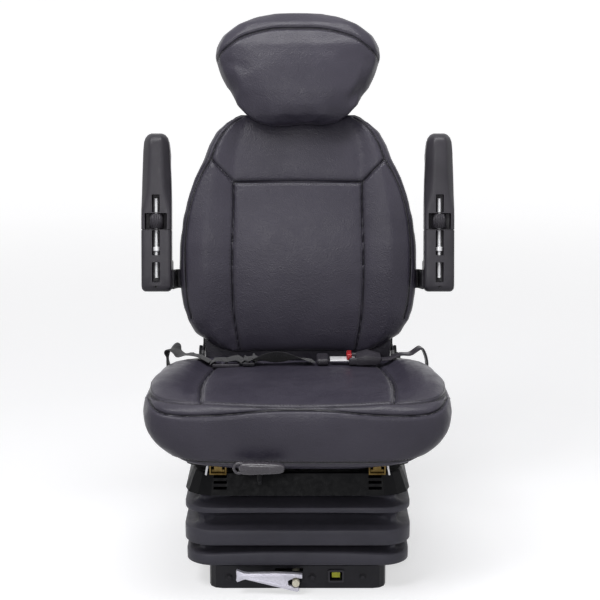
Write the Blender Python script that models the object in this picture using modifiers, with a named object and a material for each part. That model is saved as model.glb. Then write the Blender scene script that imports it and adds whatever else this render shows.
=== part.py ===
"""Tractor suspension seat, modelled in metres with +Z up and the seat facing -Y.

The origin is the centre of the base tray's underside. The backrest and all that it carries are
drawn upright in a frame of their own (X, depth, height) whose origin is the recline axis, and
that frame leans back by BACK_LEAN.
"""

import math

import bmesh
import bpy
from mathutils import Matrix, Vector

# Fits
GAP = 0.0003
RUN = 0.0005
SHEET = 0.003

# Base tray
BASE_HALF_W = 0.150
BASE_FRONT = -0.170
BASE_H = 0.040
BASE_CORNER = 0.022
BOLT_X = tuple(BASE_HALF_W * share for share in (-0.7733, 0.1633, 0.7367))
BOLT_Z = 0.0195
BOLT_R = 0.0062
WINDOW_X = BASE_HALF_W * 0.43333
WINDOW_Z = 0.0225
WINDOW_W = 0.027
WINDOW_H = 0.022
TAG_W = 0.014
TAG_H = 0.009

# Weight lever and spindle
SPINDLE_X = -0.003
SPINDLE_Z = 0.0225
SPINDLE_R = 0.0062
LEVER_LENGTH = 0.100
LEVER_Y = -0.197
LEVER_THICK = 0.010
LEVER_FORK_R = 0.0088
LEVER_HUB_R = 0.0105
LEVER_HUB_THICK = 0.003

# Scissor suspension, drawn at the top of its stroke
ARM_LENGTH = 0.300
ARM_RISE = 0.172
ARM_HALF_H = 0.012
ARM_THICK = 0.005
PIVOT_Y = -0.135
PIVOT_Z = 0.020
PIN_R = 0.006
SCISSOR_RUN = math.sqrt(ARM_LENGTH ** 2 - ARM_RISE ** 2)
OUTER_ARM_X = BASE_HALF_W - 0.0295
INNER_ARM_X = OUTER_ARM_X - 0.012
ROLLER_R = 0.0115
ROLLER_W = 0.010
AXLE_R = 0.0045
SPRING_X = 0.052
SPRING_R = 0.0105
SPRING_WIRE = 0.0020
SPRING_TURNS = 8
ANCHOR_Y = -0.088
CHANNEL_FRONT = PIVOT_Y + SCISSOR_RUN - 0.0608
CHANNEL_REAR = PIVOT_Y + ARM_LENGTH + 0.001
BASE_REAR = CHANNEL_REAR + 0.002
CHANNEL_LIP = 0.008
CHANNEL_PLAY = 0.001

# Upper frame
TOP_Z = 0.208
TOP_HALF_W = BASE_HALF_W + 0.026
TOP_FRONT = BASE_FRONT - 0.006
TOP_REAR = BASE_REAR + 0.008
SKIRT_FLARE = 0.013
SKIRT_Z = 0.172
SKIRT_WALL = 0.0025
TOP_CORNER = 0.035

# Slide
RAIL_X = BASE_HALF_W - 0.018
RAIL_HALF_W = 0.014
RAIL_H = 0.017
RAIL_WALL = 0.0024
RAIL_FRONT = -0.190
RAIL_REAR = 0.170

# Slide handle
HANDLE_X = -0.060
HANDLE_PIVOT_Y = -0.120
HANDLE_PIVOT_Z = 0.2190
HANDLE_GRIP = ((-0.103, -0.298, 0.2455), (-0.020, -0.280, 0.2625))

# Seat
PAN_Z = 0.2303
PAN_THICK = 0.003
PAN_FRONT = -0.205
PAN_REAR = 0.198
CUSHION_HALF_W = 0.260
CUSHION_MID_Y = -0.060
CUSHION_FRONT_REACH = 0.207
CUSHION_REAR_REACH = 0.207
CUSHION_RISE = -0.0750
CUSHION_TOP = 0.3330
BOLSTER_RISE = 0.0260
PANEL_X = 0.165

# Backrest, in its own frame
BACK_Y = 0.175
BACK_Z = 0.315
BACK_LEAN = math.radians(10.0)
PAD_REAR = 0.035
BACK_PANEL_X = 0.118
BACK_SEAM_U = 0.330
BACK_TOP = 0.465
HOOP_X = 0.166
HOOP_R = 0.010
HOOP_SIDES = 8
HOOP_FLAT = HOOP_R * math.cos(math.pi / HOOP_SIDES)
HOOP_V = PAD_REAR + GAP + HOOP_R
HOOP_TOP = 0.400
HOOP_WAIST_U = 0.255
HOOP_SHOULDER_X = 0.128
HOOP_SHOULDER_U = 0.352
SHELL_REAR = 0.090
SHELL_TOP = 0.460
PLATE_THICK = 0.004
PLATE_X = HOOP_X + HOOP_R + PLATE_THICK * 1.5 + 2 * GAP

# Headrest, in the backrest's frame
ROD_X = 0.052
ROD_R = 0.006
ROD_LOW = 0.330
GUIDE_R = 0.012
ROD_V = HOOP_V + HOOP_FLAT + GAP + GUIDE_R
HEAD_REAR = 0.015
HEAD_PLATE = 0.003

# Armrests, in the backrest's frame
ARMREST_X = 0.259
ARMREST_HALF_W = 0.0275
ARMREST_LOW = 0.128
ARMREST_HIGH = 0.418
ARMREST_FRONT = -0.0785
ARMREST_SPLIT = -0.048
ARMREST_REAR = -0.0185
ARMREST_PIVOT_V = -0.040
ARMREST_PIVOT_U = 0.150
WHEEL_R = 0.012
WHEEL_U = 0.257
WHEEL_H = 0.022
SCREW_V = -0.068
SCREW_R = 0.003
NUT_U = 0.206
WHEEL_WINDOW = (WHEEL_U - 0.0147, WHEEL_U + 0.0146)
WHEEL_WINDOW_HALF_W = 0.0205
SLOT_HALF_W = 0.0073
SLOTS = ((WHEEL_WINDOW[1] + 0.0014, WHEEL_WINDOW[1] + 0.0339),
         (NUT_U - 0.0113, WHEEL_WINDOW[0] - 0.0018),
         (ARMREST_LOW + 0.0173, ARMREST_LOW + 0.0540))
BRACKET_OUT = ARMREST_X - ARMREST_HALF_W - GAP
BRACKET_IN = BRACKET_OUT - 0.0027

# Lap belt
BELT_W = 0.046
BELT_THICK = 0.0022
BELT_Y = 0.078
BELT_LIFT = 0.004

PARTS = None
GUIDES = None
FRAMES = {}


def clear_scene():
    """Remove every object and start the two collections."""
    global PARTS, GUIDES
    for obj in list(bpy.data.objects):
        bpy.data.objects.remove(obj, do_unlink=True)
    PARTS = bpy.data.collections.new("tractor_suspension_seat")
    GUIDES = bpy.data.collections.new("cutters")
    bpy.context.scene.collection.children.link(PARTS)
    bpy.context.scene.collection.children.link(GUIDES)


def finish(name, colour, roughness, metallic=0.0):
    """A Principled material."""
    made = bpy.data.materials.new(name)
    made.use_nodes = True
    shader = made.node_tree.nodes["Principled BSDF"]
    shader.inputs["Base Color"].default_value = (*colour, 1.0)
    shader.inputs["Roughness"].default_value = roughness
    shader.inputs["Metallic"].default_value = metallic
    made.diffuse_color = (*colour, 1.0)
    return made


def pivot(name, location, parent=None, frame=None):
    """An empty on a joint's axis."""
    empty = bpy.data.objects.new(name, None)
    empty.empty_display_size = 0.03
    PARTS.objects.link(empty)
    world = (frame or Matrix.Identity(4)) @ Matrix.Translation(location)
    if parent is not None:
        empty.parent = parent
        empty.matrix_parent_inverse = FRAMES[parent.name].inverted()
    empty.matrix_basis = world
    FRAMES[name] = world
    return empty


def seat_in(obj, parent, frame):
    """Give an object the frame that it was drawn in, and its parent."""
    if frame is not None:
        obj.matrix_basis = frame @ obj.matrix_basis
    if parent is not None:
        obj.parent = parent
        obj.matrix_parent_inverse = FRAMES[parent.name].inverted()


def place(obj, name, material, parent=None, frame=None, add=(), cut=()):
    """Name a piece, put it in the model, and join and cut it with guide solids."""
    obj.name = name
    PARTS.objects.link(obj)
    obj.data.materials.clear()
    obj.data.materials.append(material)
    seat_in(obj, parent, frame)
    for operation, tools in (("UNION", add), ("DIFFERENCE", cut)):
        for tool in tools:
            GUIDES.objects.link(tool)
            tool.name = f"{name}_{operation.lower()}"
            tool.hide_render = True
            tool.display_type = "WIRE"
            seat_in(tool, parent, frame)
            step = obj.modifiers.new(operation.lower(), "BOOLEAN")
            step.operation = operation
            step.solver = "EXACT"
            step.object = tool
    return obj


def from_bmesh(work):
    """An object holding a bmesh, with sharp edges kept crisp and the rest smooth."""
    mesh = bpy.data.meshes.new("piece")
    work.to_mesh(mesh)
    work.free()
    mesh.shade_smooth()
    mesh.set_sharp_from_angle(angle=math.radians(35.0))
    return bpy.data.objects.new("piece", mesh)


def box(low, high):
    """A box between two opposite corners."""
    low, high = (Vector(pick(a, b) for a, b in zip(low, high)) for pick in (min, max))
    work = bmesh.new()
    scale = Matrix.Diagonal((*(high - low), 1.0))
    bmesh.ops.create_cube(work, size=1.0, matrix=Matrix.Translation((low + high) / 2) @ scale)
    return from_bmesh(work)


def round_box(low, high, radius, segments=2):
    """A box with rounded edges."""
    obj = box(low, high)
    step = obj.modifiers.new("edges", "BEVEL")
    step.width = radius
    step.segments = segments
    step.limit_method = "NONE"
    return obj


def cylinder(start, end, radius, sides=12, end_radius=None):
    """A closed cylinder or cone between two points."""
    start, end = Vector(start), Vector(end)
    work = bmesh.new()
    turn = (end - start).to_track_quat("Z", "Y").to_matrix().to_4x4()
    bmesh.ops.create_cone(
        work, cap_ends=True, segments=sides, radius1=radius,
        radius2=radius if end_radius is None else end_radius,
        depth=(end - start).length, matrix=Matrix.Translation((start + end) / 2) @ turn)
    return from_bmesh(work)


def loft(rings):
    """A closed solid through rings of equally many points, with flat ends."""
    work = bmesh.new()
    rows = [[work.verts.new(point) for point in ring] for ring in rings]
    count = len(rings[0])
    for lower, upper in zip(rows, rows[1:]):
        for i in range(count):
            j = (i + 1) % count
            work.faces.new((lower[i], lower[j], upper[j], upper[i]))
    work.faces.new(list(reversed(rows[0])))
    work.faces.new(rows[-1])
    bmesh.ops.recalc_face_normals(work, faces=work.faces)
    return from_bmesh(work)


def as_mesh(curve_obj):
    """Turn a curve into a welded mesh object, so that it can be joined and cut."""
    PARTS.objects.link(curve_obj)
    view = bpy.context.evaluated_depsgraph_get()
    mesh = bpy.data.meshes.new_from_object(curve_obj.evaluated_get(view))
    work = bmesh.new()
    work.from_mesh(mesh)
    bmesh.ops.remove_doubles(work, verts=work.verts, dist=0.00001)
    bmesh.ops.recalc_face_normals(work, faces=work.faces)
    obj = from_bmesh(work)
    obj.matrix_basis = curve_obj.matrix_basis.copy()
    bpy.data.objects.remove(curve_obj, do_unlink=True)
    return obj


def flat(outline, thickness, matrix=None):
    """A plate: a filled 2D outline extruded both ways by half its thickness."""
    curve = bpy.data.curves.new("outline", "CURVE")
    curve.dimensions = "2D"
    curve.fill_mode = "BOTH"
    curve.extrude = thickness / 2
    line = curve.splines.new("POLY")
    line.points.add(len(outline) - 1)
    for point, (x, y) in zip(line.points, outline):
        point.co = (x, y, 0.0, 1.0)
    line.use_cyclic_u = True
    obj = bpy.data.objects.new("plate", curve)
    if matrix is not None:
        obj.matrix_basis = matrix
    return as_mesh(obj)


def rod(points, radius, sides=8, cyclic=False):
    """A round bar along a path, with filled ends."""
    curve = bpy.data.curves.new("rod", "CURVE")
    curve.dimensions = "3D"
    curve.bevel_depth = radius
    curve.bevel_resolution = (sides - 4) // 2
    curve.use_fill_caps = not cyclic
    line = curve.splines.new("POLY")
    line.points.add(len(points) - 1)
    for point, place_at in zip(line.points, points):
        point.co = (*place_at, 1.0)
    line.use_cyclic_u = cyclic
    return bpy.data.objects.new("rod", curve)


def side_plane(x):
    """Outline coordinates (depth, height) drawn in a plane of constant X."""
    return Matrix(((0, 0, 1, x), (1, 0, 0, 0), (0, 1, 0, 0), (0, 0, 0, 1)))


def front_plane(y):
    """Outline coordinates (X, height) drawn in a plane of constant depth."""
    return Matrix(((1, 0, 0, 0), (0, 0, -1, y), (0, 1, 0, 0), (0, 0, 0, 1)))


def arc(centre, radius, start, end, steps):
    """Points along an arc, its angles in degrees."""
    turns = [math.radians(start + (end - start) * i / steps) for i in range(steps + 1)]
    return [(centre[0] + radius * math.cos(t), centre[1] + radius * math.sin(t)) for t in turns]


def rounded(low, high, radius, steps=3):
    """A rectangle with round corners, as points."""
    points = []
    corners = ((high[0], high[1], 0), (low[0], high[1], 90), (low[0], low[1], 180),
               (high[0], low[1], 270))
    for x, y, start in corners:
        centre = (x - math.copysign(radius, x - (low[0] + high[0]) / 2),
                  y - math.copysign(radius, y - (low[1] + high[1]) / 2))
        points += arc(centre, radius, start, start + 90, steps)
    return points


def capsule(start, end, radius, steps=5):
    """The outline of a bar with round ends."""
    turn = math.degrees(math.atan2(end[1] - start[1], end[0] - start[0]))
    return (arc(end, radius, turn - 90, turn + 90, steps)
            + arc(start, radius, turn + 90, turn + 270, steps))


def between(table, at):
    """Read a table of (place, value) pairs on a straight line between its rows."""
    for (a, low), (b, high) in zip(table, table[1:]):
        if at <= b:
            return low + (high - low) * max(at - a, 0.0) / (b - a)
    return table[-1][1]


def mirrored(half):
    """A ring from its right half, which starts and ends on the middle line."""
    return [(x, y) for x, y in half] + [(-x, y) for x, y in reversed(half[1:-1])]


def base(steel, dark, indicator, zinc):
    """Base tray with ears, runners and slots, its bolts, window and spindle."""
    rear, front, inner = BASE_REAR, BASE_FRONT, BASE_HALF_W - SHEET
    tray = flat(rounded((-BASE_HALF_W, front), (BASE_HALF_W, rear), BASE_CORNER), BASE_H,
                Matrix.Translation((0, 0, BASE_H / 2)))
    pocket = flat(rounded((-inner, front + SHEET), (inner, rear - SHEET), BASE_CORNER - SHEET),
                  BASE_H, Matrix.Translation((0, 0, BASE_H / 2 + SHEET)))
    add = []
    tray_parts = place(tray, "base_tray", steel, cut=[pocket])
    ear_x = OUTER_ARM_X + ARM_THICK / 2 + RUN
    for side in (-1, 1):
        ear = box((side * ear_x, PIVOT_Y - 0.012, SHEET / 2),
                  (side * (ear_x + 0.004), PIVOT_Y + 0.012, PIVOT_Z + 0.012))
        pin = cylinder((side * (ear_x + 0.002), PIVOT_Y, PIVOT_Z),
                       (side * (OUTER_ARM_X - ARM_THICK), PIVOT_Y, PIVOT_Z), PIN_R)
        runner = box((side * (INNER_ARM_X + 0.003), CHANNEL_FRONT, SHEET / 2),
                     (side * (INNER_ARM_X + 0.018), rear - SHEET / 2,
                      PIVOT_Z - ROLLER_R - GAP))
        add += [ear, pin, runner]
    join_to(tray_parts, add)
    hole = cylinder((SPINDLE_X, front - 0.01, SPINDLE_Z), (SPINDLE_X, front + 0.01, SPINDLE_Z),
                    SPINDLE_R + RUN)
    slot = box((SPINDLE_X - 0.035, front - 0.01, BASE_H - 0.010),
               (SPINDLE_X + 0.012, front + 0.01, BASE_H - 0.004))
    opening = box((WINDOW_X - WINDOW_W / 2 + 0.003, front - 0.01, WINDOW_Z - WINDOW_H / 2 + 0.003),
                  (WINDOW_X + WINDOW_W / 2 - 0.003, front + 0.01, WINDOW_Z + WINDOW_H / 2 - 0.003))
    cut_from(tray_parts, [hole, slot, opening])
    for number, x in enumerate(BOLT_X, 1):
        head = cylinder((x, front - GAP, BOLT_Z), (x, front - GAP - 0.0045, BOLT_Z), BOLT_R, 12,
                        BOLT_R * 0.7)
        place(head, f"front_bolt_{number}", zinc)
    outer = rounded((WINDOW_X - WINDOW_W / 2, WINDOW_Z - WINDOW_H / 2),
                    (WINDOW_X + WINDOW_W / 2, WINDOW_Z + WINDOW_H / 2), 0.003, 3)
    bezel = flat(outer, 0.003, front_plane(front - GAP - 0.0015))
    sight = box((WINDOW_X - WINDOW_W / 2 + 0.003, front - 0.02, WINDOW_Z - WINDOW_H / 2 + 0.003),
                (WINDOW_X + WINDOW_W / 2 - 0.003, front + 0.01, WINDOW_Z + WINDOW_H / 2 - 0.003))
    place(bezel, "weight_window", dark, cut=[sight])
    tag_home = pivot("weight_tag_slide", (WINDOW_X, front + SHEET + 0.002, WINDOW_Z))
    tag = box((WINDOW_X - TAG_W / 2, front + SHEET + GAP, WINDOW_Z - TAG_H / 2),
              (WINDOW_X + TAG_W / 2, front + SHEET + GAP + 0.002, WINDOW_Z + TAG_H / 2))
    stem = box((WINDOW_X - 0.002, front + SHEET + GAP, WINDOW_Z),
               (WINDOW_X + 0.002, front + SHEET + GAP + 0.002, WINDOW_Z + WINDOW_H / 2 + 0.002))
    place(tag, "weight_tag", indicator, tag_home, add=[stem])


def join_to(obj, tools):
    """Join more guide solids to a placed piece."""
    add_steps(obj, tools, "UNION")


def cut_from(obj, tools):
    """Cut more guide solids out of a placed piece."""
    add_steps(obj, tools, "DIFFERENCE")


def add_steps(obj, tools, operation):
    """Boolean steps on a piece, by tools that share its frame and parent."""
    for tool in tools:
        GUIDES.objects.link(tool)
        tool.name = f"{obj.name}_{operation.lower()}"
        tool.hide_render = True
        tool.display_type = "WIRE"
        tool.parent = obj.parent
        tool.matrix_parent_inverse = obj.matrix_parent_inverse.copy()
        step = obj.modifiers.new(operation.lower(), "BOOLEAN")
        step.operation = operation
        step.solver = "EXACT"
        step.object = tool


def weight_adjuster(cast, cream, steel):
    """Spindle, its ratchet lever and the spring anchor on it."""
    spindle = cylinder((SPINDLE_X, LEVER_Y - LEVER_THICK / 2 - 0.003, SPINDLE_Z),
                       (SPINDLE_X, ANCHOR_Y + 0.030, SPINDLE_Z), SPINDLE_R)
    place(spindle, "weight_spindle", cream)
    home = pivot("weight_lever_pivot", (SPINDLE_X, LEVER_Y, SPINDLE_Z))
    reach, neck = LEVER_LENGTH, 0.84 * LEVER_LENGTH
    outline = [(0.0109, 0.0077), (0.0109, 0.0146), (-0.004, 0.0160), (-0.030, 0.0172),
               (-neck + 0.004, 0.0163), (-neck - 0.003, 0.0170), (-reach + 0.0015, 0.0220),
               (-reach, 0.0195), (-reach + 0.0030, 0.0115), (-reach, 0.0035),
               (-reach + 0.0020, 0.0010), (-neck - 0.004, 0.0050), (-neck, 0.0058),
               (-0.060, -0.0005), (-0.030, -0.0080), (-0.010, -0.0135), (0.0025, -0.0163),
               (0.0059, -0.0140)]
    outline += arc((0.0, 0.0), LEVER_FORK_R, -60, -300, 8)
    lever = flat(outline, LEVER_THICK, Matrix.Translation((SPINDLE_X, LEVER_Y, SPINDLE_Z))
                 @ front_plane(0.0))
    rear = LEVER_Y + LEVER_THICK / 2
    hub = cylinder((SPINDLE_X, rear - LEVER_HUB_THICK, SPINDLE_Z), (SPINDLE_X, rear, SPINDLE_Z),
                   LEVER_HUB_R)
    bore = cylinder((SPINDLE_X, LEVER_Y - 0.02, SPINDLE_Z), (SPINDLE_X, LEVER_Y + 0.02, SPINDLE_Z),
                    SPINDLE_R + RUN)
    place(lever, "weight_lever", cast, home, add=[hub], cut=[bore])
    bar_home = pivot("spring_anchor_slide", (SPINDLE_X, ANCHOR_Y, SPINDLE_Z))
    bar = box((-SPRING_X - 0.012, ANCHOR_Y - 0.004, SPINDLE_Z - 0.011),
              (SPRING_X + 0.012, ANCHOR_Y + 0.004, SPINDLE_Z + 0.011))
    bore = cylinder((SPINDLE_X, ANCHOR_Y - 0.02, SPINDLE_Z), (SPINDLE_X, ANCHOR_Y + 0.02, SPINDLE_Z),
                    SPINDLE_R + RUN)
    place(bar, "spring_anchor", steel, bar_home, cut=[bore])


def arm_plate(x, start, end):
    """One scissor arm, a flat bar with round ends."""
    return flat(capsule(start, end, ARM_HALF_H), ARM_THICK, side_plane(x))


def scissor(steel, nylon, spring_steel):
    """Two crossed frames with rollers at the rear, the springs between them and the anchor."""
    low_front, high_front = (PIVOT_Y, PIVOT_Z), (PIVOT_Y, PIVOT_Z + ARM_RISE)
    high_rear = (PIVOT_Y + SCISSOR_RUN, PIVOT_Z + ARM_RISE)
    low_rear = (PIVOT_Y + SCISSOR_RUN, PIVOT_Z)
    centre = (PIVOT_Y + SCISSOR_RUN / 2, PIVOT_Z + ARM_RISE / 2)
    outer_home = pivot("scissor_outer_pivot", (0, *low_front))
    inner_home = pivot("scissor_inner_pivot", (0, *centre), outer_home)
    frames = (("scissor_outer", OUTER_ARM_X, low_front, high_rear, outer_home),
              ("scissor_inner", INNER_ARM_X, high_front, low_rear, inner_home))
    hole_r = PIN_R + RUN
    for name, x, fixed, rolling, home in frames:
        left = arm_plate(-x, fixed, rolling)
        stub = x + ARM_THICK / 2 + 2 * RUN + ROLLER_W
        add = [arm_plate(x, fixed, rolling),
               cylinder((-stub, *rolling), (stub, *rolling), AXLE_R, 12)]
        if name == "scissor_outer":
            pin_end = INNER_ARM_X - ARM_THICK
            add += [cylinder((side * x, *centre), (side * pin_end, *centre), PIN_R)
                    for side in (-1, 1)]
            holes = [fixed]
        else:
            holes = [fixed, centre]
        frame = place(left, name, steel, home, add=add)
        cut_from(frame, [cylinder((side * (x - 0.004), *at), (side * (x + 0.004), *at), hole_r)
                         for at in holes for side in (-1, 1)])
        for side, word in ((-1, "left"), (1, "right")):
            level = "top" if name == "scissor_outer" else "bottom"
            start = x + ARM_THICK / 2 + RUN
            wheel_home = pivot(f"roller_{level}_{word}_axis", (side * start, *rolling), home)
            wheel = cylinder((side * start, *rolling), (side * (start + ROLLER_W), *rolling), ROLLER_R)
            bore = cylinder((side * (start - 0.01), *rolling),
                            (side * (start + ROLLER_W + 0.01), *rolling), AXLE_R + RUN, 12)
            place(wheel, f"roller_{level}_{word}", nylon, wheel_home, cut=[bore])
    for side, word in ((-1, "left"), (1, "right")):
        spring(f"spring_{word}", side * SPRING_X, ANCHOR_Y + 0.004, low_rear[0] - AXLE_R, spring_steel)
    return low_front, high_front, outer_home, inner_home


def spring(name, x, front, rear, material):
    """A tension spring along Y, its ends just clear of what it pulls on."""
    start, end = front + SPRING_WIRE + GAP, rear - SPRING_WIRE - GAP
    steps = SPRING_TURNS * 6
    points = []
    for i in range(steps + 1):
        turn = 2 * math.pi * SPRING_TURNS * i / steps
        points.append((x + SPRING_R * math.cos(turn), start + (end - start) * i / steps,
                       PIVOT_Z + SPRING_R * math.sin(turn)))
    coil = rod(points, SPRING_WIRE, 4)
    place(coil, name, material)


def top_ring(grow, z, corner):
    """The upper frame's outline at a height, grown by a distance on every side."""
    outline = rounded((-TOP_HALF_W - grow, TOP_FRONT - grow), (TOP_HALF_W + grow, TOP_REAR + grow),
                      corner)
    return [(x, y, z) for x, y in outline]


def base_ring(grow, z, corner):
    """The base tray's outline at a height, grown by a distance on every side."""
    outline = rounded((-BASE_HALF_W - grow, BASE_FRONT - grow), (BASE_HALF_W + grow, BASE_REAR + grow),
                      corner)
    return [(x, y, z) for x, y in outline]


def bellows(rubber):
    """Rubber bellows: three flat bands between deep folds, closed round the suspension."""
    low, high = BASE_H + GAP, SKIRT_Z - GAP
    wall = 0.0022
    folds = ((0.045, -0.004, 0.040), (0.055, 0.009, 0.045), (0.175, 0.012, 0.045),
             (0.200, 0.004, 0.040), (0.240, -0.005, 0.034), (0.320, 0.005, 0.042),
             (0.345, 0.014, 0.048), (0.530, 0.015, 0.048), (0.555, 0.006, 0.042),
             (0.620, -0.004, 0.034), (0.745, 0.006, 0.042), (0.765, 0.013, 0.046),
             (0.845, 0.013, 0.046), (0.865, 0.004, 0.042), (0.920, -0.004, 0.036),
             (1.000, 0.002, 0.040))
    outside = [base_ring(0.001, low, BASE_CORNER + 0.003)]
    inside = [base_ring(0.001 - wall, low, BASE_CORNER + 0.003 - wall)]
    for share, grow, corner in folds:
        z = low + (high - low) * share
        outside.append(top_ring(grow, z, corner))
        inside.append(top_ring(grow - wall, z, corner - wall))
    work = bmesh.new()
    rings = [[work.verts.new(p) for p in ring] for ring in outside + inside[::-1]]
    count = len(rings[0])
    for lower, upper in zip(rings, rings[1:] + rings[:1]):
        for i in range(count):
            j = (i + 1) % count
            work.faces.new((lower[i], lower[j], upper[j], upper[i]))
    bmesh.ops.recalc_face_normals(work, faces=work.faces)
    place(from_bmesh(work), "bellows", rubber)


def upper_frame(steel, high_front, parent):
    """Flared top frame with slotted front corners, pivot ears and roller channels."""
    home = pivot("upper_frame_pivot", (0, *high_front), parent)
    inner_top = TOP_Z - 0.0035
    rings = [top_ring(-0.003, TOP_Z, TOP_CORNER - 0.003), top_ring(0.0, TOP_Z - 0.002, TOP_CORNER),
             top_ring(SKIRT_FLARE, SKIRT_Z, TOP_CORNER + 0.010),
             top_ring(SKIRT_FLARE - SKIRT_WALL, SKIRT_Z, TOP_CORNER + 0.008),
             top_ring(-SKIRT_WALL, inner_top, TOP_CORNER - 0.002)]
    add, cut = [], []
    ear_x = INNER_ARM_X + ARM_THICK / 2 + RUN
    for side in (-1, 1):
        add.append(box((side * ear_x, high_front[0] - 0.012, high_front[1] - 0.012),
                       (side * (ear_x + 0.004), high_front[0] + 0.012, inner_top + 0.001)))
        add.append(cylinder((side * (ear_x + 0.002), *high_front),
                            (side * (INNER_ARM_X - ARM_THICK), *high_front), PIN_R))
        for step in range(3):
            z = SKIRT_Z + 0.009 + 0.009 * step
            cut.append(box((side * (TOP_HALF_W - 0.058), TOP_FRONT - 0.024, z),
                           (side * (TOP_HALF_W - 0.036), TOP_FRONT + 0.011, z + 0.0045)))
    place(loft(rings), "upper_frame", steel, home, add=add, cut=cut)
    roller_channels(steel, home, high_front[1] - ROLLER_R, inner_top - GAP)
    return home


def roller_channels(steel, home, floor, top):
    """Two channels under the top plate, in which the upper rollers run."""
    web = OUTER_ARM_X + ARM_THICK / 2 + ROLLER_W + 0.0025
    low = floor - CHANNEL_PLAY
    profile = [(web, top), (web, low), (web - CHANNEL_LIP, low), (web - CHANNEL_LIP, low - SHEET),
               (web + SHEET, low - SHEET), (web + SHEET, top)]
    length, middle = CHANNEL_REAR - CHANNEL_FRONT, (CHANNEL_REAR + CHANNEL_FRONT) / 2
    for side, word in ((-1, "left"), (1, "right")):
        outline = [(side * x, z) for x, z in profile]
        place(flat(outline, length, front_plane(middle)), f"roller_channel_{word}", steel, home)


def slide_rails(zinc, home):
    """Two pairs of slide rails, and the carriage that the upper ones carry."""
    carriage = pivot("seat_slide", (0, 0, PAN_Z), home)
    low = TOP_Z + GAP
    half, wall, lip = RAIL_HALF_W, RAIL_WALL, 0.0075
    channel = [(half, 0), (half, RAIL_H), (lip, RAIL_H), (lip, RAIL_H - wall),
               (half - wall, RAIL_H - wall), (half - wall, wall)]
    channel = channel + [(-x, z) for x, z in reversed(channel)]
    stem, foot = lip - 0.001, half - wall - 0.001
    top = PAN_Z - GAP - low
    runner = [(foot, wall + 0.0006), (foot, wall + 0.0050), (stem, wall + 0.0050), (stem, top)]
    runner = runner + [(-x, z) for x, z in reversed(runner)]
    length = RAIL_REAR - RAIL_FRONT
    for side, word in ((-1, "left"), (1, "right")):
        at = Matrix.Translation((side * RAIL_X, 0, low))
        middle = (RAIL_FRONT + RAIL_REAR) / 2
        place(flat(channel, length, at @ front_plane(middle)), f"rail_lower_{word}", zinc, home)
        place(flat(runner, length - 0.010, at @ front_plane(middle)), f"rail_upper_{word}", zinc,
              carriage)
    return carriage


def seat_pan(steel, carriage):
    """Pressed pan with recliner plates at its rear and ears for the slide handle."""
    half = PLATE_X + PLATE_THICK / 2
    pan = flat(rounded((-half, PAN_FRONT), (half, PAN_REAR), 0.02, 3), PAN_THICK,
               Matrix.Translation((0, 0, PAN_Z + PAN_THICK / 2)))
    add, cut = [], []
    outline = [(BACK_Y - 0.0255, PAN_Z + 0.0005), (PAN_REAR - 0.002, PAN_Z + 0.0005)]
    outline += arc((BACK_Y, BACK_Z), 0.026, -15, 190, 8)
    for side in (-1, 1):
        add.append(flat(outline, PLATE_THICK, side_plane(side * PLATE_X)))
        outside = PLATE_X + (0.010 if side > 0 else 0.004)
        add.append(cylinder((side * (PLATE_X - PLATE_THICK - 0.003), BACK_Y, BACK_Z),
                            (side * outside, BACK_Y, BACK_Z), 0.008))
    for x in (HANDLE_X - 0.0205, HANDLE_X + 0.0165):
        add.append(box((x, HANDLE_PIVOT_Y - 0.006, HANDLE_PIVOT_Z - 0.005),
                       (x + 0.004, HANDLE_PIVOT_Y + 0.006, PAN_Z + 0.001)))
    for side in (-1, 1):
        inner, outer = HANDLE_X + side * 0.013, HANDLE_X + side * 0.0185
        add.append(cylinder((outer, HANDLE_PIVOT_Y, HANDLE_PIVOT_Z),
                            (inner, HANDLE_PIVOT_Y, HANDLE_PIVOT_Z), 0.002, 12))
    cut.append(round_hole((0.0, -0.03), 0.045))
    for side in (-1, 1):
        cut.append(round_hole((side * 0.085, 0.075), 0.022))
        cut.append(round_hole((side * 0.085, -0.135), 0.022))
    place(pan, "seat_pan", steel, carriage, add=add, cut=cut)


def round_hole(centre, radius):
    """A cutter for a lightening hole in the pan."""
    return cylinder((*centre, PAN_Z - 0.02), (*centre, PAN_Z + 0.02), radius, 12)


def slide_handle(steel, dark, carriage):
    """Release bar under the front of the cushion."""
    home = pivot("slide_handle_pivot", (HANDLE_X, HANDLE_PIVOT_Y, HANDLE_PIVOT_Z), carriage)
    tube = cylinder((HANDLE_X - 0.015, HANDLE_PIVOT_Y, HANDLE_PIVOT_Z),
                    (HANDLE_X + 0.015, HANDLE_PIVOT_Y, HANDLE_PIVOT_Z), 0.0045, 12)
    grip_low, grip_y = HANDLE_GRIP[0][2], (HANDLE_GRIP[0][1] + HANDLE_GRIP[1][1]) / 2
    path = [(HANDLE_X, HANDLE_PIVOT_Y - 0.002, HANDLE_PIVOT_Z), (HANDLE_X, -0.205, HANDLE_PIVOT_Z),
            (HANDLE_X, -0.262, HANDLE_PIVOT_Z + 0.001), (HANDLE_X, -0.277, HANDLE_PIVOT_Z + 0.005),
            (HANDLE_X, grip_y, HANDLE_PIVOT_Z + 0.014), (HANDLE_X, grip_y, grip_low - GAP)]
    stem = as_mesh(rod(path, 0.0036, 8))
    ends = [cylinder((HANDLE_X + side * 0.008, HANDLE_PIVOT_Y, HANDLE_PIVOT_Z),
                     (HANDLE_X + side * 0.020, HANDLE_PIVOT_Y, HANDLE_PIVOT_Z), 0.0025, 12)
            for side in (-1, 1)]
    place(tube, "slide_handle_bar", steel, home, add=[stem], cut=ends)
    place(round_box(*HANDLE_GRIP, 0.005), "slide_handle_grip", dark, home)


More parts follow.
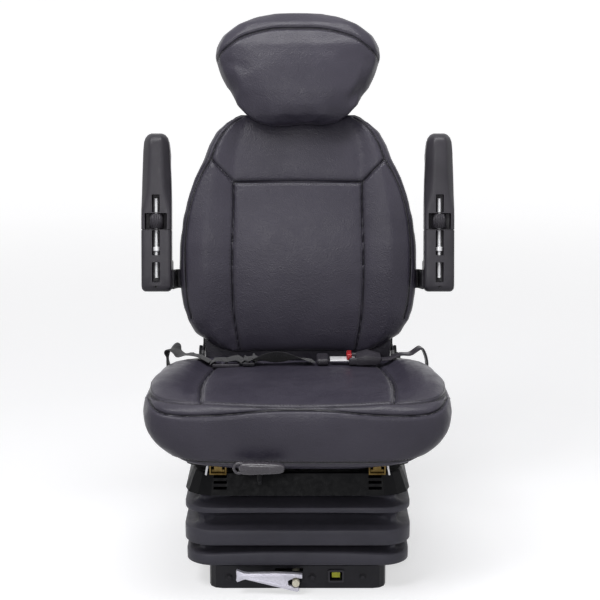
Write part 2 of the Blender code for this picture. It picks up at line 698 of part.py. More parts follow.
def cushion_share(y, front_power, rear_power):
    """How far a section keeps its full size towards the cushion's ends."""
    ahead = y < CUSHION_MID_Y
    reach = CUSHION_FRONT_REACH if ahead else CUSHION_REAR_REACH
    power = front_power if ahead else rear_power
    share = min(abs(y - CUSHION_MID_Y) / reach, 1.0)
    return (1.0 - share ** power) ** (1.0 / power)


def bolster_share(y):
    """How much of their height the side bolsters have: they sink into the front edge."""
    return between(((-0.255, 0.0), (-0.215, 0.30), (-0.160, 0.80), (-0.100, 1.0)), y)


def cushion_section(y):
    """The cushion's ring at a depth: a dished top between side bolsters."""
    top = CUSHION_TOP + CUSHION_RISE * y
    low = PAN_Z + PAN_THICK + GAP
    share = bolster_share(y)
    crest = top + BOLSTER_RISE * share
    wide = CUSHION_HALF_W * (1.0 - 0.45 * max(y - 0.02, 0.0))
    middle = (crest + low) / 2
    half = [(0.0, top), (0.24 * wide, top + 0.0005), (0.47 * wide, top + 0.002),
            (PANEL_X - 0.008, top + 0.0035), (PANEL_X + 0.002, top + 0.0015),
            (0.73 * wide, top + 0.016 * share), (0.82 * wide, crest - 0.002),
            (0.91 * wide, crest - 0.004), (0.972 * wide, crest - 0.016),
            (wide, middle + 0.024), (0.99 * wide, middle),
            (0.94 * wide, middle - 0.022), (0.85 * wide, low + 0.020), (0.74 * wide, low + 0.005),
            (0.62 * wide, low), (0.0, low)]
    flat_x, flat_z = cushion_share(y, 8.0, 5.0), cushion_share(y, 8.0, 6.0)
    ring = []
    for x, z in mirrored(half):
        ring.append((x * flat_x, y, middle + (z - middle) * flat_z))
    return ring


def cushion_top(x, y):
    """Height of the cushion's upper face, for what lies on it."""
    ring = cushion_section(y)
    upper = sorted((px, pz) for px, _, pz in ring[:9] + ring[-8:])
    return between(upper, x)


def seat_cushion(vinyl, carriage):
    """Padded cushion with a dished middle and side bolsters."""
    ends = CUSHION_MID_Y - CUSHION_FRONT_REACH, CUSHION_MID_Y + CUSHION_REAR_REACH
    shares = [0.999, 0.985, 0.955, 0.91, 0.84, 0.70, 0.48, 0.22]
    stations = [CUSHION_MID_Y + (ends[0] - CUSHION_MID_Y) * s for s in shares]
    stations += [CUSHION_MID_Y + (ends[1] - CUSHION_MID_Y) * s for s in [0.0] + shares[::-1]]
    place(loft([cushion_section(y) for y in stations]), "seat_cushion", vinyl, carriage)


def strap(path, width, thickness, lift):
    """A flat webbing strip along a path of (x, y, z), turned to lie level across its path."""
    rings = []
    for i, point in enumerate(path):
        ahead = Vector(path[min(i + 1, len(path) - 1)]) - Vector(path[max(i - 1, 0)])
        across = ahead.cross(Vector((0, 0, 1))).normalized() * (width / 2)
        up = across.cross(ahead).normalized() * thickness
        if up.z < 0:
            up = -up
        base_point = Vector(point) + up.normalized() * lift
        rings.append([base_point - across, base_point + across, base_point + across + up,
                      base_point - across + up])
    return loft(rings)


def on_cushion(points, lift):
    """Heights above the cushion for a route given by (x, y)."""
    return [(x, y, cushion_top(x, y) + lift) for x, y in points]


def belt(webbing, dark, red, chrome, steel, carriage):
    """Lap belt laid across the rear of the cushion, with its buckle on the right."""
    route = [(-0.199 + 0.0140 * i, 0.086 - 0.0020 * i) for i in range(4)]
    place(strap(on_cushion(route, BELT_LIFT), BELT_W, BELT_THICK, 0.0), "belt_webbing_left", webbing,
          carriage)
    adjuster_z = cushion_top(-0.128, BELT_Y) + BELT_LIFT
    place(round_box((-0.1535, 0.052, adjuster_z), (-0.1050, 0.104, adjuster_z + 0.010), 0.003, 1),
          "belt_adjuster", dark, carriage)
    lap = [(-0.0985 + 0.0158 * i, BELT_Y - 0.006 * math.sin(math.pi * i / 8)) for i in range(9)]
    arch = [(x, y, z + 0.010 * math.sin(math.pi * (x + 0.0985) / 0.1264)) for x, y, z in
            on_cushion(lap, 0.006)]
    place(strap(arch, BELT_W, BELT_THICK, 0.0), "belt_webbing_lap", webbing, carriage)
    level = cushion_top(0.05, 0.075) + BELT_LIFT
    tongue_home = pivot("belt_tongue_slide", (0.090, BELT_Y, level + 0.008), carriage)
    place(round_box((0.0318, 0.053, level), (0.058, 0.103, level + 0.014), 0.004, 1),
          "belt_tongue_grip", dark, tongue_home)
    place(box((0.0583, 0.064, level + 0.006), (0.104, 0.092, level + 0.009)),
          "belt_tongue", chrome, tongue_home)
    body = round_box((0.0925, 0.055, level), (0.150, 0.101, level + 0.019), 0.005, 2)
    mouth = box((0.085, 0.064 - GAP, level + 0.006 - GAP), (0.1055, 0.092 + GAP, level + 0.009 + GAP))
    pocket = box((0.090, 0.064, level + 0.0125), (0.103, 0.092, level + 0.022))
    place(body, "buckle_body", dark, carriage, cut=[mouth, pocket])
    button_home = pivot("buckle_button_slide", (0.0925, BELT_Y, level + 0.016), carriage)
    place(box((0.0900, 0.0645, level + 0.0130), (0.0985, 0.0915, level + 0.0185)),
          "buckle_button", red, button_home)
    edge = 0.205
    stalk = [(0.1545, BELT_Y, level + 0.007), (0.176, 0.084, cushion_top(0.176, 0.084) + 0.006),
             (edge, 0.097, cushion_top(edge, 0.097) + 0.008), (0.226, 0.108, 0.352),
             (0.238, 0.122, 0.318), (0.230, 0.134, 0.286), (0.212, 0.140, 0.262)]
    place(strap(stalk, 0.022, 0.004, 0.0), "buckle_stalk", dark, carriage)


def back_width(u):
    """Half width of the backrest at a height: broad at the waist, narrow at the shoulders."""
    return between(((0.008, 0.120), (0.012, 0.146), (0.020, 0.165), (0.029, 0.1745),
                    (0.042, 0.197), (0.070, 0.2165), (0.100, 0.2250),
                    (0.160, 0.2280), (0.215, 0.2280), (0.270, 0.2225), (0.315, 0.2100),
                    (0.352, 0.1940), (0.384, 0.1780), (0.413, 0.1680), (0.4375, 0.1540),
                    (0.456, 0.1300), (BACK_TOP, 0.1020)), u)


def backrest_pad(vinyl, parent, frame):
    """Padded back with a panelled middle and side bolsters."""
    front = ((0.008, -0.004), (0.016, -0.014), (0.035, -0.022), (0.100, -0.034), (0.180, -0.045),
             (0.240, -0.047), (0.300, -0.042), (0.400, -0.034), (0.4375, -0.028), (0.456, -0.018),
             (BACK_TOP, -0.006))
    rear = ((0.008, 0.016), (0.016, 0.026), (0.035, PAD_REAR), (0.445, PAD_REAR), (BACK_TOP, 0.022))
    rings = []
    for u in (0.008, 0.012, 0.020, 0.029, 0.042, 0.070, 0.095, 0.120, 0.165, 0.215, 0.265, 0.300,
              BACK_SEAM_U, 0.345, 0.375, 0.405, 0.430, 0.450, 0.461, BACK_TOP):
        wide, v, back = back_width(u), between(front, u), between(rear, u)
        panel = min(BACK_PANEL_X, 0.66 * wide)
        valley = 0.004 if 0.05 < u < 0.45 else 0.0
        seam = 0.0035 if u == BACK_SEAM_U else 0.0
        half = [(0.0, v + seam), (0.5 * panel, v + seam), (panel - 0.008, v + 0.001 + seam),
                (panel, v + valley), (panel + 0.010, v - 0.002), ((panel + wide) / 2, v - 0.009),
                (0.93 * wide, v - 0.001), (wide, 0.5 * v), (0.985 * wide, 0.6 * back),
                (0.90 * wide, back), (0.45 * wide, back), (0.0, back)]
        rings.append([(x, y, u) for x, y in mirrored(half)])
    place(loft(rings), "backrest_pad", vinyl, parent, frame)


def backrest_shell(dark, parent, frame):
    """Moulded rear cover, open to the pad and at its foot, with holes for the headrest guides."""
    front = PAD_REAR + GAP
    steps = (0.060, 0.110, 0.170, 0.240, 0.300, 0.350, 0.400, 0.436, SHELL_TOP)

    def rings(inset, extra_low):
        made = []
        for u in steps:
            wide = min(back_width(u) - 0.014, 0.200) - inset
            deep = SHELL_REAR - 0.012 * (1.0 - min(u / 0.2, 1.0)) - inset
            low_v = front - (0.01 if inset else 0.0)
            height = u - extra_low if u == steps[0] else min(u, SHELL_TOP - inset)
            half = [(0.0, deep), (0.6 * wide, deep - 0.001), (0.88 * wide, deep - 0.010),
                    (wide, deep - 0.026), (wide, low_v), (0.0, low_v)]
            made.append([(x, y, height) for x, y in mirrored(half)])
        return made
    outer, inner = loft(rings(0.0, 0.0)), loft(rings(0.003, 0.02))
    holes = [cylinder((side * ROD_X, ROD_V, SHELL_TOP - 0.02), (side * ROD_X, ROD_V, SHELL_TOP + 0.02),
                      GUIDE_R + GAP) for side in (-1, 1)]
    notches = [box((side * 0.15, 0.02, ARMREST_PIVOT_U - 0.022),
                   (side * 0.25, HOOP_V + 0.004, ARMREST_PIVOT_U + 0.022)) for side in (-1, 1)]
    place(outer, "backrest_shell", dark, parent, frame, cut=[inner] + holes + notches)


def hoop(steel, parent, frame):
    """Tubular back frame with the two armrest brackets welded on."""
    radius = HOOP_TOP - HOOP_SHOULDER_U
    low = 0.012
    half = [(HOOP_X, low), (HOOP_X, HOOP_WAIST_U), (HOOP_X - 0.003, HOOP_WAIST_U + 0.018)]
    half += arc((HOOP_SHOULDER_X - radius, HOOP_SHOULDER_U), radius, 15, 90, 5)
    path = [(-x, HOOP_V, u) for x, u in half] + [(x, HOOP_V, u) for x, u in reversed(half)]
    tube = as_mesh(rod(path, HOOP_R, HOOP_SIDES))
    add = []
    for side in (-1, 1):
        u = ARMREST_PIVOT_U
        add.append(box((side * (HOOP_X + HOOP_R * 0.4), HOOP_V - 0.006, u - 0.018),
                       (side * BRACKET_OUT, HOOP_V - 0.002, u + 0.018)))
        add.append(box((side * BRACKET_IN, ARMREST_PIVOT_V - 0.014, u - 0.018),
                       (side * BRACKET_OUT, HOOP_V - 0.003, u + 0.018)))
        add.append(cylinder((side * (BRACKET_IN + 0.001), ARMREST_PIVOT_V, u),
                            (side * ARMREST_X, ARMREST_PIVOT_V, u), 0.006))
    place(tube, "backrest_hoop", steel, parent, frame, add=add)


def recliner(steel, lever_steel, carriage, back, frame):
    """Upper recliner plates on the hoop, and the release lever."""
    plate_x = HOOP_X + HOOP_R + GAP + PLATE_THICK / 2
    outline = arc((0, 0), 0.024, 95, 290, 10) + [(0.030, -0.014), (HOOP_V + 0.008, 0.012),
                                                  (HOOP_V + 0.008, 0.110), (HOOP_V - 0.008, 0.110),
                                                  (HOOP_V - 0.008, 0.026), (0.020, 0.024)]
    for side, word in ((-1, "left"), (1, "right")):
        plate = flat(outline, PLATE_THICK, side_plane(side * plate_x))
        hole = cylinder((side * (plate_x - 0.01), 0, 0), (side * (plate_x + 0.01), 0, 0), 0.008 + RUN)
        place(plate, f"recliner_plate_{word}", steel, back, frame, cut=[hole])
    x = PLATE_X + PLATE_THICK / 2 + RUN + 0.0015
    home = pivot("recline_lever_pivot", (x, BACK_Y, BACK_Z), carriage)
    outline = capsule((BACK_Y, BACK_Z), (BACK_Y + 0.060, BACK_Z - 0.034), 0.013, 6)
    lever = flat(outline, 0.003, side_plane(x))
    hole = cylinder((x - 0.01, BACK_Y, BACK_Z), (x + 0.01, BACK_Y, BACK_Z), 0.008 + RUN)
    place(lever, "recline_lever", lever_steel, home, cut=[hole])


def headrest(vinyl, dark, chrome, back, frame):
    """Headrest pad on its bent bar, and the guides in the top of the backrest."""
    home = pivot("headrest_slide", (0, ROD_V, SHELL_TOP), back, frame)
    widths = ((0.4280, 0.050), (0.4335, 0.078), (0.446, 0.100), (0.4634, 0.118), (0.4944, 0.133),
              (0.5267, 0.147), (0.559, 0.157), (0.576, 0.1555), (0.601, 0.1420), (0.622, 0.114),
              (0.636, 0.080), (0.6435, 0.042))
    front = ((0.4280, -0.068), (0.446, -0.080), (0.500, -0.088), (0.580, -0.084), (0.622, -0.070),
             (0.6435, -0.046))
    rear = ((0.4280, -0.048), (0.446, -0.042), (0.468, -0.042), (0.482, -0.006), (0.497, HEAD_REAR),
            (0.590, HEAD_REAR), (0.622, 0.000), (0.6435, -0.024))
    rings = []
    for u in (0.4280, 0.4335, 0.446, 0.4634, 0.475, 0.4944, 0.5267, 0.559, 0.580, 0.601, 0.622,
              0.636, 0.6435):
        wide, v, r = between(widths, u), between(front, u), between(rear, u)
        half = [(0.0, v), (0.45 * wide, v + 0.001), (0.78 * wide, v + 0.006),
                (0.94 * wide, v + 0.20 * (r - v)), (wide, v + 0.5 * (r - v)),
                (0.95 * wide, v + 0.80 * (r - v)), (0.75 * wide, r - 0.03 * (r - v)),
                (0.50 * wide, r), (0.0, r)]
        rings.append([(x, y, u) for x, y in mirrored(half)])
    place(loft(rings), "headrest_pad", vinyl, home, frame)
    plate_rear = HEAD_REAR + GAP + HEAD_PLATE
    plate = flat(rounded((-0.068, 0.502), (0.068, 0.586), 0.012, 3), HEAD_PLATE,
                 front_plane(HEAD_REAR + GAP + HEAD_PLATE / 2))
    place(plate, "headrest_plate", dark, home, frame)
    front_v = plate_rear + GAP + ROD_R
    bend = 0.012
    side_path = [(ROD_X, ROD_V, ROD_LOW), (ROD_X, ROD_V, 0.508), (ROD_X, ROD_V - 0.006, 0.521),
                 (ROD_X, front_v + 0.014, 0.543), (ROD_X, front_v + 0.003, 0.552),
                 (ROD_X - 0.003, front_v, 0.557), (ROD_X - bend, front_v, 0.560)]
    path = side_path + [(-x, v, u) for x, v, u in reversed(side_path)]
    place(rod(path, ROD_R, 8), "headrest_bar", chrome, home, frame)
    for side, word in ((-1, "left"), (1, "right")):
        at = side * ROD_X
        sleeve = cylinder((at, ROD_V, 0.402), (at, ROD_V, SHELL_TOP + 0.002), GUIDE_R)
        collar = cylinder((at, ROD_V, SHELL_TOP + GAP), (at, ROD_V, SHELL_TOP + 0.005), 0.0165, 14, 0.0145)
        bore = cylinder((at, ROD_V, 0.38), (at, ROD_V, SHELL_TOP + 0.03), ROD_R + RUN)
        place(sleeve, f"headrest_guide_{word}", dark, back, frame, add=[collar], cut=[bore])


def armrest_core(x):
    """Moulded underside of the armrest: a raised face that broadens downwards, with slanted sides."""
    wide = ARMREST_HALF_W
    face = ((0.128, 0.0205), (0.1325, 0.0255), (0.270, 0.0250), (0.285, 0.0225), (0.300, 0.0170),
            (0.3216, 0.0136), (0.367, 0.0120), (0.418, 0.0110))
    edge = ((0.128, wide - 0.0055), (0.1325, wide), (0.402, wide), (0.4125, wide - 0.0045),
            (0.418, wide - 0.013))
    lean = ((0.128, 0.0065), (0.1325, 0.0), (0.402, 0.0), (0.4125, 0.0060), (0.418, 0.0160))
    rings = []
    for u in (0.128, 0.1325, 0.270, 0.285, 0.300, 0.3216, 0.367, 0.402, 0.4125, 0.418):
        half, ridge = between(edge, u), min(between(face, u), between(edge, u) - 0.001)
        front = ARMREST_FRONT + between(lean, u)
        side = min(front + 1.1 * (half - ridge), ARMREST_SPLIT - 0.002)
        rings.append([(x - half, ARMREST_SPLIT, u), (x - half, side, u), (x - ridge, front, u),
                      (x + ridge, front, u), (x + half, side, u), (x + half, ARMREST_SPLIT, u)])
    return loft(rings)


def armrest(side, word, vinyl, dark, knob, zinc, back, frame):
    """One armrest: pad, moulded underside, and the thumbwheel that sets its height."""
    x = side * ARMREST_X
    pivot_at = (x, ARMREST_PIVOT_V, ARMREST_PIVOT_U)
    home = pivot(f"armrest_{word}_pivot", pivot_at, back, frame)
    core = armrest_core(x)
    block = box((x - ARMREST_HALF_W, ARMREST_SPLIT - 0.01, ARMREST_LOW + 0.003),
                (x + ARMREST_HALF_W, ARMREST_REAR, 0.186))
    front = ARMREST_FRONT - 0.01
    openings = [box((x - SLOT_HALF_W, front, low), (x + SLOT_HALF_W, SCREW_V + 0.0075, high))
                for low, high in SLOTS]
    openings += [box((x - WHEEL_WINDOW_HALF_W, front, WHEEL_WINDOW[0]),
                     (x + WHEEL_WINDOW_HALF_W, SCREW_V + WHEEL_R + 0.0015, WHEEL_WINDOW[1])),
                cylinder((x, SCREW_V, 0.140), (x, SCREW_V, 0.308), SCREW_R + RUN, 12),
                cylinder((x, front, 0.1367), (x, -0.066, 0.1367), 0.0022, 10),
                cylinder((x - side * 0.05, ARMREST_PIVOT_V, ARMREST_PIVOT_U),
                         (x + side * 0.0005, ARMREST_PIVOT_V, ARMREST_PIVOT_U), 0.006 + RUN)]
    place(core, f"armrest_{word}_core", dark, home, frame, add=[block], cut=openings)
    armrest_pad(x, f"armrest_{word}_pad", vinyl, home, frame)
    wheel_home = pivot(f"armrest_{word}_wheel_axis", (x, SCREW_V, WHEEL_U), home, frame)
    teeth = 16
    star = []
    for i in range(2 * teeth):
        turn = math.pi * i / teeth
        radius = WHEEL_R - (0.0012 if i % 2 else 0.0)
        star.append((x + radius * math.cos(turn), SCREW_V + radius * math.sin(turn)))
    wheel = flat(star, WHEEL_H, Matrix.Translation((0, 0, WHEEL_U)))
    bore = cylinder((x, SCREW_V, WHEEL_U - 0.02), (x, SCREW_V, WHEEL_U + 0.02), SCREW_R + GAP, 12)
    place(wheel, f"armrest_{word}_wheel", knob, wheel_home, frame, cut=[bore])
    screw = cylinder((x, SCREW_V, 0.152), (x, SCREW_V, 0.300), SCREW_R, 12)
    place(screw, f"armrest_{word}_screw", zinc, wheel_home, frame)
    nut_home = pivot(f"armrest_{word}_nut_slide", (x, SCREW_V, NUT_U), home, frame)
    nut = box((x - 0.0060, SCREW_V - 0.0055, NUT_U - 0.004), (x + 0.0060, SCREW_V + 0.0055, NUT_U + 0.004))
    hole = cylinder((x, SCREW_V, NUT_U - 0.02), (x, SCREW_V, NUT_U + 0.02), SCREW_R + GAP, 12)
    place(nut, f"armrest_{word}_nut", zinc, nut_home, frame, cut=[hole])


def armrest_pad(x, name, vinyl, home, frame):
    """Upholstered top of an armrest, round at its free end."""
    front, rear, wide = ARMREST_SPLIT + GAP, ARMREST_REAR, ARMREST_HALF_W
    low, high = 0.1863, ARMREST_HIGH
    middle = (front + rear) / 2
    depth = (rear - front) / 2
    rings = []
    for share in (0.0, 0.02, 0.30, 0.62, 0.84, 0.93, 0.975, 0.995):
        u = low + (high - low) * share
        grow = (1.0 - max(share - 0.70, 0.0) ** 4 / 0.30 ** 4) ** 0.25 if share > 0.70 else 1.0
        if share == 0.0:
            grow = 0.93
        ring = []
        for i in range(16):
            turn = 2 * math.pi * i / 16
            c, s = math.cos(turn), math.sin(turn)
            ring.append((x + wide * grow * math.copysign(abs(c) ** 0.5, c),
                         middle + depth * min(1.0, grow + 0.1) * math.copysign(abs(s) ** 0.5, s), u))
        rings.append(ring)
    place(loft(rings), name, vinyl, home, frame)


def main():
    """Model the whole seat."""
    clear_scene()
    vinyl = finish("vinyl", (0.060, 0.055, 0.068), 0.48)
    black_steel = finish("black_steel", (0.030, 0.029, 0.033), 0.45, 0.4)
    plastic = finish("black_plastic", (0.045, 0.042, 0.048), 0.42)
    rubber = finish("bellows_rubber", (0.048, 0.046, 0.056), 0.60)
    zinc = finish("zinc", (0.62, 0.58, 0.42), 0.35, 0.9)
    cast = finish("cast_aluminium", (0.66, 0.65, 0.70), 0.38, 0.9)
    cream = finish("cream_steel", (0.72, 0.69, 0.58), 0.40, 0.5)
    indicator = finish("indicator", (0.52, 0.55, 0.04), 0.40)
    nylon = finish("nylon", (0.70, 0.70, 0.66), 0.50)
    webbing = finish("webbing", (0.030, 0.028, 0.034), 0.75)
    red = finish("red_button", (0.42, 0.008, 0.012), 0.30)
    chrome = finish("chrome", (0.75, 0.75, 0.77), 0.15, 1.0)
    base(black_steel, plastic, indicator, zinc)
    weight_adjuster(cast, cream, black_steel)
    _, high_front, _, inner_home = scissor(black_steel, nylon, zinc)
    bellows(rubber)
    top_home = upper_frame(black_steel, high_front, inner_home)
    carriage = slide_rails(zinc, top_home)
    seat_pan(black_steel, carriage)
    slide_handle(black_steel, plastic, carriage)
    seat_cushion(vinyl, carriage)
    belt(webbing, plastic, red, chrome, black_steel, carriage)
    lean = Matrix.Translation((0, BACK_Y, BACK_Z)) @ Matrix.Rotation(-BACK_LEAN, 4, "X")
    back = pivot("recline_pivot", (0, 0, 0), carriage, lean)
    backrest_pad(vinyl, back, lean)
    backrest_shell(plastic, back, lean)
    hoop(black_steel, back, lean)
    recliner(black_steel, plastic, carriage, back, lean)
    headrest(vinyl, plastic, chrome, back, lean)
    for side, word in ((-1, "left"), (1, "right")):
        armrest(side, word, vinyl, plastic, plastic, zinc, back, lean)


main()
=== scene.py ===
"""Looks for a tractor suspension seat: finishes, padding, seams, stitches and small fittings."""

import logging
import math
from dataclasses import dataclass, field
from enum import Enum

import bmesh
import bpy
import numpy as np
from mathutils import Matrix, Vector
from mathutils.bvhtree import BVHTree


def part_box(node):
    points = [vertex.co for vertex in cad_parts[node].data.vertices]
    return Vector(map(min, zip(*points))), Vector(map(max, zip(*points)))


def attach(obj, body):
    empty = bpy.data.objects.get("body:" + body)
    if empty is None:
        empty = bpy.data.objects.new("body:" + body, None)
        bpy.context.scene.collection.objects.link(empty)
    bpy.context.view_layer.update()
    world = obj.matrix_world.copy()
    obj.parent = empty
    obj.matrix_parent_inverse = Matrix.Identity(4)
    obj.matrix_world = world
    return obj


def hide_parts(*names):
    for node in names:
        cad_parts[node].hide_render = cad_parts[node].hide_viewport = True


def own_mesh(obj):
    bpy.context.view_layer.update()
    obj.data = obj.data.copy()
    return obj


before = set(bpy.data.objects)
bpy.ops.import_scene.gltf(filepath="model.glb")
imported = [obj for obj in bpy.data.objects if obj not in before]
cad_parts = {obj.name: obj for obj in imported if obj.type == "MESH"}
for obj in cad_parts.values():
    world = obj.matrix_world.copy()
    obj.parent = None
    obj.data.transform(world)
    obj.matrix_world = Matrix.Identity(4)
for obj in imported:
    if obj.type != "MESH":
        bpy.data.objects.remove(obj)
log = logging.getLogger("seat")

Socket = bpy.types.NodeSocket
Thing = bpy.types.Object
Colour = tuple[float, float, float]
Point = tuple[float, float, float]
Flat = tuple[float, float]
Path = list[Vector]

SEAM_MARK = "seam"
SEAM_REACH = 0.012
# Painted shade along the seams: the range of seam nearness over which the vinyl darkens.
PAINTED_SEAM_SHADE_RANGE = (0.85, 0.94)
SEAM_FOLD = (0.78, 0.975)
SEAM_DEPTH = 0.0022
# Painted shade: the near-black colour laid along each seam, where its groove would be in shade.
SEAM_PAINTED_SHADE = (0.004, 0.004, 0.005)
DUST_SHARE = 0.5
CLOTH_FRAMES = 20
HELD_FACING = 0.25
SEAM_FACING = 0.12
STITCH_GAP = 0.02
STITCH_LIFT = 0.0003
THREAD_RINGS = 300

UPRIGHT = Matrix.Rotation(math.pi / 2, 4, "X")
BACK_LEAN = math.radians(10.0)
BACK = Matrix.Translation((0.0, 0.175, 0.315)) @ Matrix.Rotation(-BACK_LEAN, 4, "X")


class Pattern(Enum):
    """Relief that a finish carries."""

    GRAIN = "leather grain"
    PEEL = "orange peel"
    SPARK = "fine spark texture"
    MATTE = "matte rubber"
    CAST = "sand-cast skin"
    DRAWN = "drawn along one axis"


class Tree:
    """A material's node tree, with short calls for the nodes that the finishes share."""

    def __init__(self, name: str) -> None:
        """Start a material with its Principled shader."""
        self.material = bpy.data.materials.new(name)
        self.material.use_nodes = True
        self.nodes = self.material.node_tree.nodes
        self.shader = self.nodes["Principled BSDF"]

    def link(self, start: Socket, end: Socket) -> None:
        """Join two sockets."""
        self.material.node_tree.links.new(start, end)

    def put(self, kind: str, result: str | int, wires: dict[str | int, Socket],
            values: dict[str | int, object] | None = None, **settings: str) -> Socket:
        """Add a node and set it up.

        Args:
            kind: the node's type.
            result: the output that is wanted.
            wires: sockets that feed its inputs.
            values: plain values of its inputs.
            settings: the node's own settings.

        Returns:
            The wanted output.
        """
        made = self.nodes.new(kind)
        for word, value in settings.items():
            setattr(made, word, value)
        for word, value in (values or {}).items():
            made.inputs[word].default_value = value
        for word, socket in wires.items():
            self.link(socket, made.inputs[word])
        return made.outputs[result]

    def place(self, stretch: Point = (1.0, 1.0, 1.0), source: str = "Object") -> Socket:
        """Coordinates in metres, stretched along the axes.

        Args:
            stretch: factors for the three axes.
            source: the Texture Coordinate output that is read.

        Returns:
            The vector socket.
        """
        start = self.put("ShaderNodeTexCoord", source, {})
        return self.put("ShaderNodeMapping", "Vector", {"Vector": start}, {"Scale": stretch})

    def noise(self, where: Socket, scale: float, detail: float = 3.0) -> Socket:
        """Soft noise between 0 and 1."""
        return self.put("ShaderNodeTexNoise", "Fac", {"Vector": where},
                        {"Scale": scale, "Detail": detail})

    def cells(self, where: Socket, scale: float, feature: str = "F1") -> Socket:
        """Distance inside small cells."""
        return self.put("ShaderNodeTexVoronoi", "Distance", {"Vector": where}, {"Scale": scale},
                        feature=feature)

    def bands(self, where: Socket, scale: float, axis: str) -> Socket:
        """Parallel bands across an axis."""
        return self.put("ShaderNodeTexWave", "Fac", {"Vector": where},
                        {"Scale": scale, "Distortion": 0.0}, bands_direction=axis)

    def spread(self, fac: Socket, low: float, high: float,
               take: Flat = (0.3, 0.7)) -> Socket:
        """Map a range of a value onto another range."""
        return self.put("ShaderNodeMapRange", "Result", {"Value": fac},
                        {"From Min": take[0], "From Max": take[1], "To Min": low, "To Max": high})

    def sums(self, first: Socket, second: Socket, operation: str = "ADD") -> Socket:
        """Arithmetic on two values."""
        return self.put("ShaderNodeMath", "Value", {0: first, 1: second}, operation=operation)

    def mix(self, fac: Socket, dark: Colour | Socket, light: Colour | Socket) -> Socket:
        """A colour between two colours or colour sockets."""
        wires, values = {"Factor": fac}, {}
        for number, part in ((6, dark), (7, light)):
            if isinstance(part, bpy.types.NodeSocket):
                wires[number] = part
            else:
                values[number] = (*part, 1.0)
        return self.put("ShaderNodeMix", 2, wires, values, data_type="RGBA")

    def relief(self, height: Socket, depth: float, strength: float = 1.0,
               under: Socket | None = None) -> Socket:
        """A bump of a given depth in metres, over another bump if one is given."""
        wires = {"Height": height}
        if under is not None:
            wires["Normal"] = under
        return self.put("ShaderNodeBump", "Normal", wires, {"Strength": strength, "Distance": depth})

    def finish(self, colour: Socket, rough: Socket, normal: Socket,
               **plain: float) -> bpy.types.Material:
        """Wire the shader, set its plain values and return the material."""
        self.link(colour, self.shader.inputs["Base Color"])
        self.link(rough, self.shader.inputs["Roughness"])
        self.link(normal, self.shader.inputs["Normal"])
        for word, value in plain.items():
            self.shader.inputs[word.replace("_", " ").title().replace("Ior", "IOR")].default_value = value
        return self.material


@dataclass(frozen=True)
class Finish:
    """One surface finish: its colours, its sheen and its relief."""

    name: str
    dark: Colour
    light: Colour
    rough: Flat
    pattern: Pattern
    grain: float
    depth: float
    metallic: float = 0.0
    cloud: float = 14.0
    dust: Colour | None = None
    coat: float = 0.0
    gloss: float = 0.5
    # sewn: the finish carries a seam bump and painted shade along the seams.
    sewn: bool = False

    def height(self, tree: Tree, where: Socket) -> Socket:
        """The relief's height for this finish's pattern."""
        if self.pattern is Pattern.GRAIN:
            warp = tree.noise(where, self.grain * 0.35, 2.0)
            return tree.sums(tree.cells(where, self.grain, "SMOOTH_F1"), warp)
        if self.pattern is Pattern.DRAWN:
            return tree.noise(tree.place((1.0, 0.04, 1.0)), self.grain, 2.0)
        if self.pattern is Pattern.CAST:
            return tree.sums(tree.noise(where, self.grain, 4.0), tree.cells(where, self.grain * 0.8))
        return tree.noise(where, self.grain, 2.0)

    def material(self) -> bpy.types.Material:
        """Build the node material, once for each name."""
        known = bpy.data.materials.get(self.name)
        if known is not None:
            return known
        tree = Tree(self.name)
        where = tree.place()
        cloud = tree.noise(where, self.cloud, 4.0)
        colour = tree.mix(tree.spread(cloud, 0.0, 1.0), self.dark, self.light)
        if self.dust is not None:
            facing = tree.put("ShaderNodeNewGeometry", "Normal", {})
            height = tree.put("ShaderNodeSeparateXYZ", "Z", {"Vector": facing})
            upward = tree.spread(height, 0.0, DUST_SHARE, (0.45, 1.0))
            patchy = tree.sums(upward, tree.noise(where, 60.0, 5.0), "MULTIPLY")
            colour = tree.mix(patchy, colour, self.dust)
        scuff = tree.noise(where, self.cloud * 6.0, 5.0)
        rough = tree.spread(scuff, *self.rough)
        large = tree.relief(cloud, self.depth * 1.5, 0.4)
        if self.sewn:
            near = tree.put("ShaderNodeAttribute", "Fac", {}, attribute_name=SEAM_MARK)
            # Painted shade: the colour darkens to near black along each seam, standing in for the shade in
            # its groove; the fold below is a bump.
            line = tree.spread(near, 0.0, 0.9, PAINTED_SEAM_SHADE_RANGE)
            colour = tree.mix(line, colour, SEAM_PAINTED_SHADE)
            large = tree.relief(tree.spread(near, 1.0, 0.0, SEAM_FOLD), SEAM_DEPTH, 0.9, large)
        normal = tree.relief(self.height(tree, where), self.depth, 0.8, large)
        return tree.finish(colour, rough, normal, metallic=self.metallic, coat_weight=self.coat,
                           specular_ior_level=self.gloss)


@dataclass(frozen=True)
class Webbing:
    """Woven belt webbing, its ribs running along the strip's own map."""

    name: str = "belt_webbing"
    dark: Colour = (0.010, 0.010, 0.012)
    light: Colour = (0.034, 0.033, 0.038)

    def material(self) -> bpy.types.Material:
        """Build the twill from two sets of bands on the strip's map."""
        known = bpy.data.materials.get(self.name)
        if known is not None:
            return known
        tree = Tree(self.name)
        where = tree.place((1.0, 1.0, 1.0), "UV")
        along = tree.bands(where, 110.0, "X")
        twill = tree.bands(where, 160.0, "DIAGONAL")
        weave = tree.sums(along, twill, "MULTIPLY")
        colour = tree.mix(weave, self.dark, self.light)
        fuzz = tree.noise(tree.place(), 900.0, 2.0)
        rough = tree.spread(fuzz, 0.62, 0.86)
        normal = tree.relief(weave, 0.0006, 0.8)
        return tree.finish(colour, rough, normal, sheen_weight=0.15)
